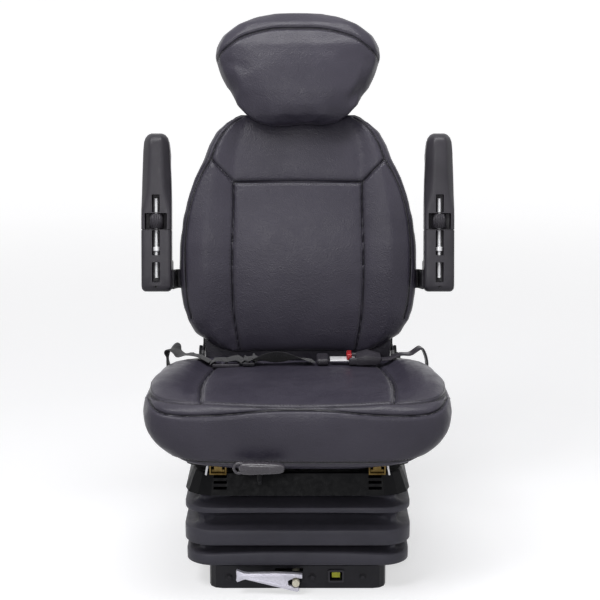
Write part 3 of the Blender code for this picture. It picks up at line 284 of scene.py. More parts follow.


# The vinyl is sewn: painted shade darkens it along its seams.
VINYL = Finish("seat_vinyl", (0.029, 0.026, 0.039), (0.043, 0.039, 0.055), (0.30, 0.43),
               Pattern.GRAIN, 520.0, 0.00045, cloud=9.0, gloss=0.28, sewn=True)
# Painted shade: a near-black, low-gloss copy of the black powder coat, worn by the parts that sit in the
# shade under the cushion and behind the lever.
SHADOW_COAT = Finish("frame_coat_painted_shade", (0.0016, 0.0016, 0.0022), (0.0034, 0.0034, 0.0044), (0.40, 0.56),
              Pattern.PEEL, 420.0, 0.0003, cloud=22.0, gloss=0.1)
STEEL = Finish("black_powder_coat", (0.0085, 0.0082, 0.0110), (0.0165, 0.0155, 0.0200), (0.34, 0.50),
               Pattern.PEEL, 420.0, 0.0003, cloud=22.0, dust=(0.05, 0.048, 0.052), gloss=0.22)
PLASTIC = Finish("moulded_plastic", (0.026, 0.024, 0.030), (0.038, 0.035, 0.043), (0.28, 0.40),
                 Pattern.SPARK, 1400.0, 0.00022, cloud=18.0, gloss=0.26)
RUBBER = Finish("bellows_rubber_skin", (0.034, 0.033, 0.043), (0.050, 0.048, 0.062), (0.40, 0.56),
                Pattern.MATTE, 700.0, 0.0003, cloud=11.0, dust=(0.085, 0.080, 0.098), gloss=0.25)
ZINC = Finish("yellow_zinc_plate", (0.060, 0.038, 0.011), (0.17, 0.12, 0.045), (0.30, 0.52),
              Pattern.DRAWN, 260.0, 0.0002, metallic=1.0, cloud=60.0)
CAST = Finish("cast_lever", (0.54, 0.53, 0.60), (0.72, 0.70, 0.78), (0.34, 0.52),
              Pattern.CAST, 320.0, 0.0006, metallic=0.55, cloud=28.0)
CREAM = Finish("cream_paint", (0.64, 0.60, 0.46), (0.76, 0.72, 0.60), (0.36, 0.52),
               Pattern.PEEL, 400.0, 0.0002, metallic=0.2, cloud=40.0)
TAG = Finish("indicator_green", (0.42, 0.46, 0.015), (0.54, 0.56, 0.03), (0.34, 0.46),
             Pattern.SPARK, 900.0, 0.0001, cloud=60.0)
NYLON = Finish("roller_nylon", (0.60, 0.60, 0.56), (0.72, 0.72, 0.68), (0.40, 0.55),
               Pattern.MATTE, 600.0, 0.0002, cloud=30.0)
RED = Finish("button_red", (0.32, 0.006, 0.010), (0.46, 0.012, 0.018), (0.22, 0.34),
             Pattern.SPARK, 1200.0, 0.0001, cloud=50.0, coat=0.3)
CHROME = Finish("bar_chrome", (0.70, 0.70, 0.72), (0.82, 0.82, 0.84), (0.08, 0.18),
                Pattern.DRAWN, 300.0, 0.00005, metallic=1.0, cloud=20.0)
# Steel made pale and barely metallic: besides the steel's own colour, its pale colour stands in for the
# bright reflections that the metal shows, as painted reflection.
STEEL_PAINTED_REFLECTION = Finish("satin_steel_painted_reflection", (0.70, 0.70, 0.72), (0.84, 0.84, 0.86), (0.28, 0.42),
               Pattern.DRAWN, 320.0, 0.0001, metallic=0.25, cloud=30.0)
GLOSSY = Finish("moulded_handle", (0.040, 0.036, 0.044), (0.056, 0.051, 0.061), (0.20, 0.32),
                Pattern.SPARK, 900.0, 0.00012, cloud=18.0)
THREAD = Finish("seam_thread", (0.016, 0.015, 0.018), (0.030, 0.028, 0.034), (0.50, 0.68),
                Pattern.DRAWN, 1600.0, 0.0002, cloud=90.0)
WEBBING = Webbing()


def plane(along: Vector, up: Vector, at: Vector) -> Matrix:
    """A drawing plane: its X along, its Y up, and its Z pointing out of the piece."""
    along, up = along.normalized(), up.normalized()
    out = along.cross(up)
    rows = Matrix((along, up, out)).transposed().to_4x4()
    return Matrix.Translation(at) @ rows


FRONT_OF_BACK = BACK @ plane(Vector((1, 0, 0)), Vector((0, 0, 1)), Vector((0, -0.2, 0)))
TOP = plane(Vector((1, 0, 0)), Vector((0, 1, 0)), Vector((0, 0, 0.6)))
FRONT = plane(Vector((1, 0, 0)), Vector((0, 0, 1)), Vector((0, -0.5, 0)))


def smooth_line(points: list[tuple[float, ...]], step: float) -> np.ndarray:
    """Points at even steps on a smooth curve through the given points.

    Args:
        points: the places that the curve passes.
        step: distance between the results.

    Returns:
        An array with a row for each point.
    """
    given = np.array(points, dtype=float)
    ends = np.vstack((2 * given[0] - given[1], given, 2 * given[-1] - given[-2]))
    made = []
    for a, b, c, d in zip(ends, ends[1:], ends[2:], ends[3:]):
        for t in np.linspace(0.0, 1.0, 12, endpoint=False):
            made.append(0.5 * (2 * b + (c - a) * t + (2 * a - 5 * b + 4 * c - d) * t ** 2
                               + (3 * b - a - 3 * c + d) * t ** 3))
    made.append(given[-1])
    made = np.array(made)
    lengths = np.linalg.norm(np.diff(made, axis=0), axis=1)
    run = np.concatenate(((0.0,), np.cumsum(lengths)))
    count = max(int(round(run[-1] / step)), 2) + 1
    at = np.linspace(0.0, run[-1], count)
    return np.stack([np.interp(at, run, made[:, k]) for k in range(given.shape[1])], axis=1)


@dataclass(frozen=True)
class Seam:
    """A sewn line on one side of a pad, drawn in that side's plane."""

    side: Matrix
    points: tuple[Flat, ...]
    depth: float = 0.0034
    width: float = 0.0034
    rows: tuple[float, ...] = (-0.0045, 0.0045)

    def line(self) -> np.ndarray:
        """The seam as closely spaced points in its plane."""
        return smooth_line(list(self.points), 0.004)

    def row(self, offset: float) -> np.ndarray:
        """The line moved sideways, for a row of stitches."""
        line = self.line()
        ahead = np.gradient(line, axis=0)
        ahead /= np.linalg.norm(ahead, axis=1, keepdims=True)
        return line + np.stack((-ahead[:, 1], ahead[:, 0]), axis=1) * offset


def distance_to(line: np.ndarray, points: np.ndarray) -> np.ndarray:
    """Distance in a plane from each point to a polyline."""
    best = np.full(len(points), 1e9)
    for start, end in zip(line, line[1:]):
        along = end - start
        share = np.clip((points - start) @ along / max(along @ along, 1e-12), 0.0, 1.0)
        away = np.linalg.norm(points - (start + share[:, None] * along), axis=1)
        best = np.minimum(best, away)
    return best


def get_points(mesh: bpy.types.Mesh, what: str = "co") -> np.ndarray:
    """Vertex places or normals as an array."""
    source = mesh.vertices if what == "co" else mesh.vertex_normals
    field_name = "co" if what == "co" else "vector"
    flat = np.empty(len(mesh.vertices) * 3)
    source.foreach_get(field_name, flat)
    return flat.reshape(-1, 3)


def surface(obj: Thing) -> tuple[np.ndarray, np.ndarray]:
    """An object's vertex places and normals."""
    return get_points(obj.data), get_points(obj.data, "normal")


def moved(points: np.ndarray, matrix: Matrix) -> np.ndarray:
    """Points moved by a matrix."""
    given = np.array(matrix)
    return points @ given[:3, :3].T + given[:3, 3]


def set_points(mesh: bpy.types.Mesh, points: np.ndarray) -> None:
    """Move the vertices of a mesh."""
    mesh.vertices.foreach_set("co", points.astype(np.float32).ravel())
    mesh.update()


def show(obj: Thing) -> Thing:
    """Link an object to the scene."""
    bpy.context.scene.collection.objects.link(obj)
    return obj


def bake(obj: Thing) -> Thing:
    """Turn an object's modifiers into a plain mesh and remove them."""
    view = bpy.context.evaluated_depsgraph_get()
    mesh = bpy.data.meshes.new_from_object(obj.evaluated_get(view))
    obj.modifiers.clear()
    obj.data = mesh
    return obj


def wear(obj: Thing, finish: Finish | Webbing) -> None:
    """Give every slot of an object one finish."""
    made = finish.material()
    if not obj.data.materials:
        obj.data.materials.append(made)
    for number in range(len(obj.data.materials)):
        obj.data.materials[number] = made
    for slot in obj.material_slots:
        slot.material = made


def declare(obj: Thing, finish: Finish | Webbing, body: str,
            nodes: tuple[str, ...] = ()) -> None:
    """Args:
        obj: the piece.
        finish: the finish that it wears.
        body: the body that it rides on.
        nodes: the CAD nodes that it stands for.
    """
    wear(obj, finish)
    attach(obj, body)
    if nodes:
        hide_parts(*nodes)
    log.info("%s: %d faces", obj.name, len(obj.data.polygons))


def round_turn(count: int) -> np.ndarray:
    """Even angles round a full turn."""
    return np.linspace(0.0, 2 * math.pi, count, endpoint=False)


def blunt(value: float) -> float:
    """A sine or cosine made blunter, so that a circle of them comes out squarer."""
    return math.copysign(abs(value) ** 0.6, value)


def join(obj: Thing, tool: Thing, operation: str, own: bool = False) -> None:
    """Add an exact boolean step to an object.

    Args:
        obj: the object that is changed.
        tool: the object that is added or taken away.
        operation: UNION or DIFFERENCE.
        own: whether either of them overlaps itself.
    """
    step = obj.modifiers.new(operation, "BOOLEAN")
    step.operation, step.solver, step.object = operation, "EXACT", tool
    step.use_self = own


def corners(node: str) -> tuple[Vector, Vector]:
    """The lowest and the highest corner of a CAD node's box."""
    low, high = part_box(node)
    return Vector(low), Vector(high)


def mirrored(half: tuple[Flat, ...],
             *middle: Flat) -> tuple[Flat, ...]:
    """A line from left to right, from its right half and the points in its middle."""
    return tuple((-x, y) for x, y in reversed(half)) + middle + half


def welded(node: str, name: str) -> Thing:
    """A merged copy of a CAD node's mesh, as a new piece."""
    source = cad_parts[node]
    work = bmesh.new()
    work.from_mesh(source.data)
    bmesh.ops.remove_doubles(work, verts=work.verts, dist=0.00002)
    mesh = bpy.data.meshes.new(name)
    work.to_mesh(mesh)
    work.free()
    return show(bpy.data.objects.new(name, mesh))


class RepeatTree:
    """A geometry node tree that sets a small form on points and joins the copies."""

    def __init__(self, name: str, inputs: dict[str, str], kinds: dict[str, tuple[str, dict]],
                 wires: tuple[str, ...]) -> None:
        """Build the tree.

        Args:
            name: its name.
            inputs: its inputs, each with the last word of its socket type.
            kinds: a word for each node, with its type and its settings.
            wires: links as "node output > node input", beside those that both trees share.
        """
        self.tree = bpy.data.node_groups.new(name, "GeometryNodeTree")
        for word, kind in inputs.items():
            self.tree.interface.new_socket(word, in_out="INPUT", socket_type=f"NodeSocket{kind}")
        self.tree.interface.new_socket("Made", in_out="OUTPUT", socket_type="NodeSocketGeometry")
        shared = {"start": ("NodeGroupInput", {}), "end": ("NodeGroupOutput", {}),
                  "put": ("GeometryNodeInstanceOnPoints", {}),
                  "real": ("GeometryNodeRealizeInstances", {}),
                  "dress": ("GeometryNodeSetMaterial", {})}
        self.nodes = {}
        for word, (kind, settings) in {**shared, **kinds}.items():
            self.nodes[word] = self.tree.nodes.new(kind)
            for setting, value in settings.items():
                setattr(self.nodes[word], setting, value)
        for wire in (*wires, "put Instances > real Geometry", "real Geometry > dress Geometry",
                     "start Finish > dress Material", "dress Geometry > end Made"):
            (start, output), (end, feed) = (side.split() for side in wire.split(" > "))
            self.tree.links.new(self.nodes[start].outputs[output], self.nodes[end].inputs[feed])

    def grow(self, obj: Thing, finish: Finish, **values: float) -> Thing:
        """Run the tree on an object and turn the result into its mesh."""
        step = obj.modifiers.new("repeat", "NODES")
        step.node_group = self.tree
        values["Finish"] = finish.material()
        for item in self.tree.interface.items_tree:
            if item.in_out == "INPUT" and item.name in values:
                step[item.identifier] = values[item.name]
        return bake(obj)


class StitchTree(RepeatTree):
    """Lays thread stitches along a line."""

    def __init__(self) -> None:
        """Resample the line and lay a thread at each point."""
        super().__init__(
            "stitch_row",
            {"Line": "Geometry", "Spacing": "Float", "Length": "Float", "Thickness": "Float",
             "Finish": "Material"},
            {"curve": ("GeometryNodeMeshToCurve", {}),
             "even": ("GeometryNodeResampleCurve", {"mode": "LENGTH"}),
             "thread": ("GeometryNodeMeshIcoSphere", {}),
             "size": ("ShaderNodeCombineXYZ", {}),
             "tangent": ("GeometryNodeInputTangent", {}),
             "turn": ("FunctionNodeAlignEulerToVector", {"axis": "X"})},
            ("start Line > curve Mesh", "curve Curve > even Curve", "start Spacing > even Length",
             "start Length > size X", "start Thickness > size Y", "start Thickness > size Z",
             "tangent Tangent > turn Vector", "even Curve > put Points",
             "thread Mesh > put Instance", "turn Rotation > put Rotation",
             "size Vector > put Scale"))
        self.nodes["thread"].inputs["Subdivisions"].default_value = 1
        self.nodes["thread"].inputs["Radius"].default_value = 0.5

    def run(self, name: str, rows: list[Path], spacing: float = 0.0052,
            length: float = 0.0040, thickness: float = 0.0011) -> Thing:
        """Lay stitches along rows of points.

        Args:
            name: the new piece's name.
            rows: the lines, each a list of points on the surface.
            spacing: distance between stitches.
            length: length of one stitch.
            thickness: thickness of the thread.

        Returns:
            A plain mesh piece.
        """
        verts, edges = [], []
        for row in rows:
            first = len(verts)
            verts += [tuple(point) for point in row]
            edges += [(first + i, first + i + 1) for i in range(len(row) - 1)]
        mesh = bpy.data.meshes.new(name)
        mesh.from_pydata(verts, edges, [])
        obj = show(bpy.data.objects.new(name, mesh))
        return self.grow(obj, THREAD, Spacing=spacing, Length=length, Thickness=thickness)


@dataclass
class Pad:
    """A padded piece: swollen by a cloth simulation, then sewn along its seams."""

    node: str
    body: str
    seams: list[Seam]
    voxel: float = 0.005
    pressure: float = 4.0
    cap: float = 0.008
    shrink: float = 0.0025
    smooth: int = 10
    ease: int = 10
    fill: float = 0.75
    lows: tuple[tuple[Matrix, float, float], ...] = ()
    rows: list[Path] = field(default_factory=list)

    def skin(self) -> Thing:
        """The pad's start shape: a smoothed, slightly smaller copy of its solid."""
        obj = welded(self.node, f"{self.node}_cover")
        step = obj.modifiers.new("even", "REMESH")
        step.mode = "VOXEL"
        step.voxel_size = self.voxel
        ease = obj.modifiers.new("ease", "SMOOTH")
        ease.factor = 0.5
        ease.iterations = self.smooth
        bake(obj)
        points, normals = surface(obj)
        set_points(obj.data, points - normals * self.shrink)
        return obj

    def nearness(self, obj: Thing) -> list[tuple[Seam, np.ndarray, np.ndarray]]:
        """For each seam, every vertex's distance to it and how squarely it faces its plane."""
        points, normals = surface(obj)
        found = []
        for seam in self.seams:
            local = moved(points, seam.side.inverted())
            facing = normals @ np.array(seam.side)[:3, 2]
            found.append((seam, distance_to(seam.line(), local[:, :2]), facing))
        return found

    def swell(self, obj: Thing) -> None:
        """Blow the cover up against its seams, and cap how far it moves."""
        held = np.zeros(len(obj.data.vertices), dtype=bool)
        for seam, away, facing in self.nearness(obj):
            held |= (away < self.voxel * 0.8) & (facing > HELD_FACING)
        group = obj.vertex_groups.new(name="sewn")
        group.add([int(i) for i in np.nonzero(held)[0]], 1.0, "REPLACE")
        before = get_points(obj.data)
        cloth = obj.modifiers.new("cloth", "CLOTH")
        cloth.settings.quality = 5
        cloth.settings.use_pressure = True
        cloth.settings.uniform_pressure_force = self.pressure
        cloth.settings.effector_weights.gravity = 0.0
        cloth.settings.vertex_group_mass = "sewn"
        cloth.point_cache.frame_start = 1
        cloth.point_cache.frame_end = CLOTH_FRAMES
        scene = bpy.context.scene
        for number in range(1, CLOTH_FRAMES + 1):
            scene.frame_set(number)
        bake(obj)
        scene.frame_set(1)
        move = self.eased(obj, get_points(obj.data) - before)
        far = np.linalg.norm(move, axis=1, keepdims=True)
        set_points(obj.data, before + move * np.minimum(1.0, self.cap / np.maximum(far, 1e-9)))

    def eased(self, obj: Thing, move: np.ndarray) -> np.ndarray:
        """The cover's movement with its small creases smoothed out."""
        ends = np.empty(len(obj.data.edges) * 2, dtype=np.int64)
        obj.data.edges.foreach_get("vertices", ends)
        ends = ends.reshape(-1, 2)
        count = np.bincount(ends.ravel(), minlength=len(move))[:, None]
        for _ in range(self.ease):
            total = np.zeros_like(move)
            np.add.at(total, ends[:, 0], move[ends[:, 1]])
            np.add.at(total, ends[:, 1], move[ends[:, 0]])
            move = 0.4 * move + 0.6 * total / np.maximum(count, 1)
        return move

    def settle(self, obj: Thing) -> None:
        """Flatten the cover where it rests on a plane."""
        points = get_points(obj.data)
        for side, level, reach in self.lows:
            local = moved(points, side.inverted())
            below = (np.abs(local[:, 0]) < reach) & (local[:, 2] < level)
            local[below, 2] = level
            points = moved(local, side)
        set_points(obj.data, points)

    def sew(self, obj: Thing) -> None:
        """Press the seams into the cover and find where their stitches lie."""
        points, normals = surface(obj)
        sink, near = np.zeros(len(points)), np.zeros(len(points))
        for seam, away, facing in self.nearness(obj):
            share = np.clip((facing - 0.05) / 0.35, 0.0, 1.0)
            sink = np.maximum(sink, seam.depth * share * np.exp(-(away / seam.width) ** 2))
            near = np.maximum(near, np.where(facing > SEAM_FACING, 1.0 - away / SEAM_REACH, 0.0))
        set_points(obj.data, points - normals * sink[:, None])
        # The seam attribute holds nearness to a seam; the vinyl reads it for its painted seam shade and its
        # seam bump.
        mark = obj.data.attributes.new(SEAM_MARK, "FLOAT", "POINT")
        mark.data.foreach_set("value", np.clip(near, 0.0, 1.0).astype(np.float32))
        tree = BVHTree.FromObject(obj, bpy.context.evaluated_depsgraph_get())
        for seam in self.seams:
            out = seam.side.to_3x3() @ Vector((0, 0, 1))
            for offset in seam.rows:
                self.rows += split_row(tree, seam, seam.row(offset), out)

    def build(self) -> Thing:
        obj = self.skin()
        self.swell(obj)
        self.settle(obj)
        finer = obj.modifiers.new("finer", "SUBSURF")
        finer.levels = finer.render_levels = 1
        bake(obj)
        self.sew(obj)
        obj.data.shade_smooth()
        obj.vertex_groups.clear()
        declare(obj, VINYL, self.body, (self.node,))
        if self.rows:
            stitches = STITCHES.run(f"{self.node}_stitches", self.rows)
            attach(stitches, self.body)
        log.info("%s: %d stitch rows", obj.name, len(self.rows))
        return obj


def split_row(tree: BVHTree, seam: Seam, line: np.ndarray, out: Vector) -> list[Path]:
    """Drop a line from a seam's plane onto a surface.

    Args:
        tree: the surface.
        seam: the seam whose plane the line is drawn in.
        line: the points in that plane.
        out: the direction that the plane faces.

    Returns:
        The stretches of the line that meet the surface squarely.
    """
    rows, row = [], []
    for a, b in line:
        hit, normal, _, _ = tree.ray_cast(seam.side @ Vector((a, b, 0.3)), -out)
        good = hit is not None and normal.dot(out) > 0.2
        if good and row and (hit - row[-1]).length > STITCH_GAP:
            good = False
        if good:
            row.append(hit + normal * STITCH_LIFT)
        elif row:
            rows.append(row)
            row = []
    if row:
        rows.append(row)
    return [row for row in rows if len(row) > 3]


STITCHES = StitchTree()


def rim(verts: list[bmesh.types.BMVert]) -> set[bmesh.types.BMEdge]:
    """The edges that join some vertices to each other."""
    members = set(verts)
    return {line for vert in verts for line in vert.link_edges if line.other_vert(vert) in members}


class Shape:
    """Closed shells gathered into one piece."""

    def __init__(self) -> None:
        """Start empty."""
        self.work = bmesh.new()

    def block(self, low: Point, high: Point, edge: float, turn: Matrix | None = None,
              segments: int = 3) -> "Shape":
        """A box with rounded edges.

        Args:
            low: its lowest corner.
            high: its highest corner.
            edge: radius of the rounding.
            turn: a rotation about its middle.
            segments: faces across each rounding.
        """
        low, high = Vector(low), Vector(high)
        size = Matrix.Diagonal((*(high - low), 1.0))
        at = Matrix.Translation((low + high) / 2) @ (turn or Matrix.Identity(4)) @ size
        made = bmesh.ops.create_cube(self.work, size=1.0, matrix=at)["verts"]
        return self.rounded({line for vert in made for line in vert.link_edges}, edge, segments)

    def rounded(self, edges: set[bmesh.types.BMEdge], offset: float, segments: int) -> "Shape":
        """Round some of its edges."""
        bmesh.ops.bevel(self.work, geom=list(edges), offset=offset, segments=segments,
                        affect="EDGES", profile=0.5, clamp_overlap=True)
        return self

    def rod(self, start: Point, end: Point, radius: float, sides: int = 24,
            edge: float = 0.0) -> "Shape":
        """A round or many-sided rod between two points, its far end rounded by edge."""
        start, end = Vector(start), Vector(end)
        along = end - start
        at = Matrix.Translation((start + end) / 2) @ along.to_track_quat("Z", "Y").to_matrix().to_4x4()
        made = bmesh.ops.create_cone(self.work, cap_ends=True, segments=sides, radius1=radius,
                                     radius2=radius, depth=along.length, matrix=at)["verts"]
        if edge:
            self.rounded(rim([vert for vert in made if (vert.co - end).dot(along) > -1e-7]), edge, 3)
        return self

    def loft(self, rings: list[list[Point]], caps: bool = True) -> "Shape":
        """A skin over rings of equal count, closed at its ends."""
        rows = [[self.work.verts.new(point) for point in ring] for ring in rings]
        count = len(rows[0])
        pairs = list(zip(rows, rows[1:])) if caps else list(zip(rows, rows[1:] + rows[:1]))
        for lower, upper in pairs:
            for i in range(count):
                j = (i + 1) % count
                self.work.faces.new((lower[i], lower[j], upper[j], upper[i]))
        if caps:
            self.work.faces.new(rows[0][::-1])
            self.work.faces.new(rows[-1])
        return self

    def tube(self, points: list[Point], radius: float, sides: int = 12) -> "Shape":
        """A round tube along a smooth path."""
        line = [Vector(point) for point in smooth_line(points, radius * 0.9)]
        rings = []
        side = None
        for i, point in enumerate(line):
            ahead = (line[min(i + 1, len(line) - 1)] - line[max(i - 1, 0)]).normalized()
            if side is None:
                side = ahead.orthogonal().normalized()
            side = (side - ahead * side.dot(ahead)).normalized()
            up = ahead.cross(side)
            rings.append([point + (side * math.cos(t) + up * math.sin(t)) * radius
                          for t in round_turn(sides)])
        return self.loft(rings)

    def plate(self, outline: list[Flat], thick: float, at: Matrix,
              edge: float) -> "Shape":
        """An outline made thick about its plane, with rounded rims."""
        fresh = [self.work.verts.new(at @ Vector((x, y, -thick / 2))) for x, y in outline]
        base = self.work.faces.new(fresh)
        risen = bmesh.ops.extrude_face_region(self.work, geom=[base])["geom"]
        top = [item for item in risen if isinstance(item, bmesh.types.BMVert)]
        lift = at.to_3x3() @ Vector((0.0, 0.0, thick))
        bmesh.ops.translate(self.work, verts=top, vec=lift)
        for loop in (fresh, top):
            self.rounded(rim(loop), edge, 2)
        return self

    def bare(self, name: str, at: Matrix | None = None) -> Thing:
        """The shape as an object with no finish, moved by a matrix if one is given."""
        if at is not None:
            bmesh.ops.transform(self.work, matrix=at, verts=self.work.verts)
        bmesh.ops.recalc_face_normals(self.work, faces=self.work.faces)
        mesh = bpy.data.meshes.new(name)
        self.work.to_mesh(mesh)
        self.work.free()
        return show(bpy.data.objects.new(name, mesh))

    def piece(self, name: str, finish: Finish | Webbing, body: str, *nodes: str,
              frame_at: Matrix | None = None, slot: str | None = None,
              sharp: float = 35.0) -> Thing:
        """Finish the shape as a piece that rides on a body and may stand for CAD nodes."""
        obj = self.bare(name, frame_at)
        obj.data.shade_smooth()
        obj.data.set_sharp_from_angle(angle=math.radians(sharp))
        declare(obj, finish, body, nodes)
        return obj


def rounded_ring(half_x: float, front: float, rear: float, corner: float,
                 steps: int = 9, run: int = 10) -> list[Flat]:
    """A rounded rectangle as evenly placed points, so that rings of it match."""
    made = []
    middles = ((half_x - corner, rear - corner, 0.0), (-half_x + corner, rear - corner, 90.0),
               (-half_x + corner, front + corner, 180.0), (half_x - corner, front + corner, 270.0))
    for number, (x, y, start) in enumerate(middles):
        for t in np.linspace(math.radians(start), math.radians(start + 90.0), steps):
            made.append((x + corner * math.cos(t), y + corner * math.sin(t)))
        after = middles[(number + 1) % 4]
        turn = math.radians(after[2])
        goal = (after[0] + corner * math.cos(turn), after[1] + corner * math.sin(turn))
        begin = made[-1]
        for share in np.linspace(0.0, 1.0, run + 1, endpoint=False)[1:]:
            made.append((begin[0] + (goal[0] - begin[0]) * share,
                         begin[1] + (goal[1] - begin[1]) * share))
    return made


@dataclass
class Bellows:
    """Moulded rubber bellows whose folds bow a little."""

    foot: float = 0.0403
    head: float = 0.1717
    half: float = 0.176
    wall: float = 0.0022
    fold: float = 0.030
    rise: float = 0.0062

    def profile(self) -> list[tuple[float, float, float, float, float]]:
        """Height share, growth, corner radius, bow and fold depth of each ring."""
        return [(0.000, -0.025, 0.026, 0.0, 0.0), (0.020, -0.020, 0.030, 0.0, 0.0),
                (0.045, -0.004, 0.040, 0.0, 0.0), (0.050, 0.006, 0.044, 0.0, 0.0),
                (0.060, 0.0112, 0.046, 0.0, 0.0), (0.066, 0.0122, 0.046, 0.0, 0.0),
                (0.110, 0.0124, 0.046, 0.2, 0.0), (0.172, 0.0122, 0.045, 0.9, 0.0),
                (0.182, 0.0112, 0.044, 1.0, 0.0), (0.190, 0.0080, 0.044, 1.0, 0.05),
                (0.198, 0.003, 0.042, 1.0, 0.50), (0.212, -0.002, 0.038, 0.9, 0.90),
                (0.240, -0.005, 0.034, 0.8, 1.0), (0.285, -0.003, 0.036, 0.4, 0.85),
                (0.316, 0.004, 0.042, 0.1, 0.40), (0.328, 0.0105, 0.045, 0.0, 0.06),
                (0.336, 0.0138, 0.047, 0.0, 0.0), (0.344, 0.0148, 0.048, 0.0, 0.0),
                (0.400, 0.0150, 0.048, 0.0, 0.0), (0.480, 0.0150, 0.048, 0.0, 0.0),
                (0.528, 0.0148, 0.048, 0.0, 0.0), (0.538, 0.0138, 0.047, 0.0, 0.0),
                (0.546, 0.0105, 0.045, 0.0, 0.05), (0.556, 0.005, 0.042, 0.1, 0.45),
                (0.575, -0.001, 0.038, 0.3, 0.85), (0.615, -0.004, 0.035, 0.4, 1.0),
                (0.690, -0.001, 0.038, 0.4, 0.80), (0.740, 0.006, 0.042, 0.4, 0.35),
                (0.754, 0.0110, 0.045, 0.4, 0.05), (0.762, 0.0134, 0.046, 0.3, 0.0),
                (0.772, 0.0138, 0.046, 0.3, 0.0), (0.832, 0.0138, 0.046, 0.1, 0.0),
                (0.842, 0.0125, 0.045, 0.0, 0.0), (0.850, 0.008, 0.043, 0.0, 0.05),
                (0.862, 0.003, 0.040, 0.0, 0.40), (0.890, -0.003, 0.037, 0.0, 0.80),
                (0.930, -0.004, 0.036, 0.0, 0.80), (0.975, -0.001, 0.039, 0.0, 0.35),
                (1.000, 0.001, 0.040, 0.0, 0.10)]

    def ring(self, share: float, grow: float, corner: float, bow: float,
             depth: float) -> list[Point]:
        """One ring of the skin: bowed upwards, and folded in between its corners."""
        reach = self.half + grow
        made = []
        for x, y in rounded_ring(reach, -reach, reach, corner):
            along, across = (x, y) if abs(y) > abs(x) else (y, x)
            lift = self.rise * bow * (1.0 - min(1.0, (along / reach) ** 2))
            share_in = min(1.0, max(0.0, (reach - corner * 0.45 - abs(along)) / 0.030))
            sunk = self.fold * depth * share_in ** 0.6
            across -= math.copysign(sunk, across)
            point = (along, across) if abs(y) > abs(x) else (across, along)
            made.append((*point, self.foot + (self.head - self.foot) * share + lift))
        return made

    def build(self) -> None:
        """Make the bellows."""
        rows = self.profile()
        outside = [self.ring(*row) for row in rows]
        inside = [self.ring(share, grow - self.wall, corner - self.wall, bow, depth)
                  for share, grow, corner, bow, depth in reversed(rows)]
        made = Shape().loft(outside + inside, caps=False).piece(
            "bellows_skin", RUBBER, "base", "bellows", sharp=60.0)
        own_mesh(made)


@dataclass
class Strip:
    """A flat strip along a path, cupped across, with a map that its weave follows."""

    name: str
    path: list[Point]
    across: list[Point]
    width: float = 0.046
    thick: float = 0.0016
    finish: Finish | Webbing = WEBBING
    cup: float = 0.0008

    def build(self, body: str, *nodes: str) -> Thing:
        """Make the strip.

        Args:
            body: the body that it rides on.
            nodes: CAD nodes that it stands for.

        Returns:
            The piece.
        """
        joined = [tuple(p) + tuple(a) for p, a in zip(self.path, self.across)]
        line = smooth_line(joined, 0.0045)
        steps = np.linspace(-1.0, 1.0, 9)
        rings, marks = [], []
        length = 0.0
        for i, row in enumerate(line):
            point, side = Vector(row[:3]), Vector(row[3:])
            behind = line[max(i - 1, 0)][:3]
            ahead = Vector(line[min(i + 1, len(line) - 1)][:3] - behind).normalized()
            side = (side - ahead * side.dot(ahead)).normalized()
            up = ahead.cross(side)
            length += (point - Vector(behind)).length
            ring = []
            for face in (1, -1):
                for s in (steps if face > 0 else steps[::-1]):
                    lift = self.thick / 2 * face * (1.0 - 0.75 * abs(s) ** 8) - self.cup * s * s
                    ring.append(point + side * (self.width / 2 * s) + up * lift)
                    marks.append((length, self.width / 2 * (s + 1.0)))
            rings.append(ring)
        shape = Shape().loft(rings)
        bmesh.ops.recalc_face_normals(shape.work, faces=shape.work.faces)
        chart = shape.work.loops.layers.uv.new("map")
        where = dict(zip(shape.work.verts, marks))
        for face in shape.work.faces:
            for loop in face.loops:
                loop[chart].uv = where[loop.vert]
        obj = shape.piece(self.name, self.finish, body, *nodes, sharp=50.0)
        isinstance(self.finish, Webbing)
        log.info("%s: %.3f m long", self.name, length)
        return obj


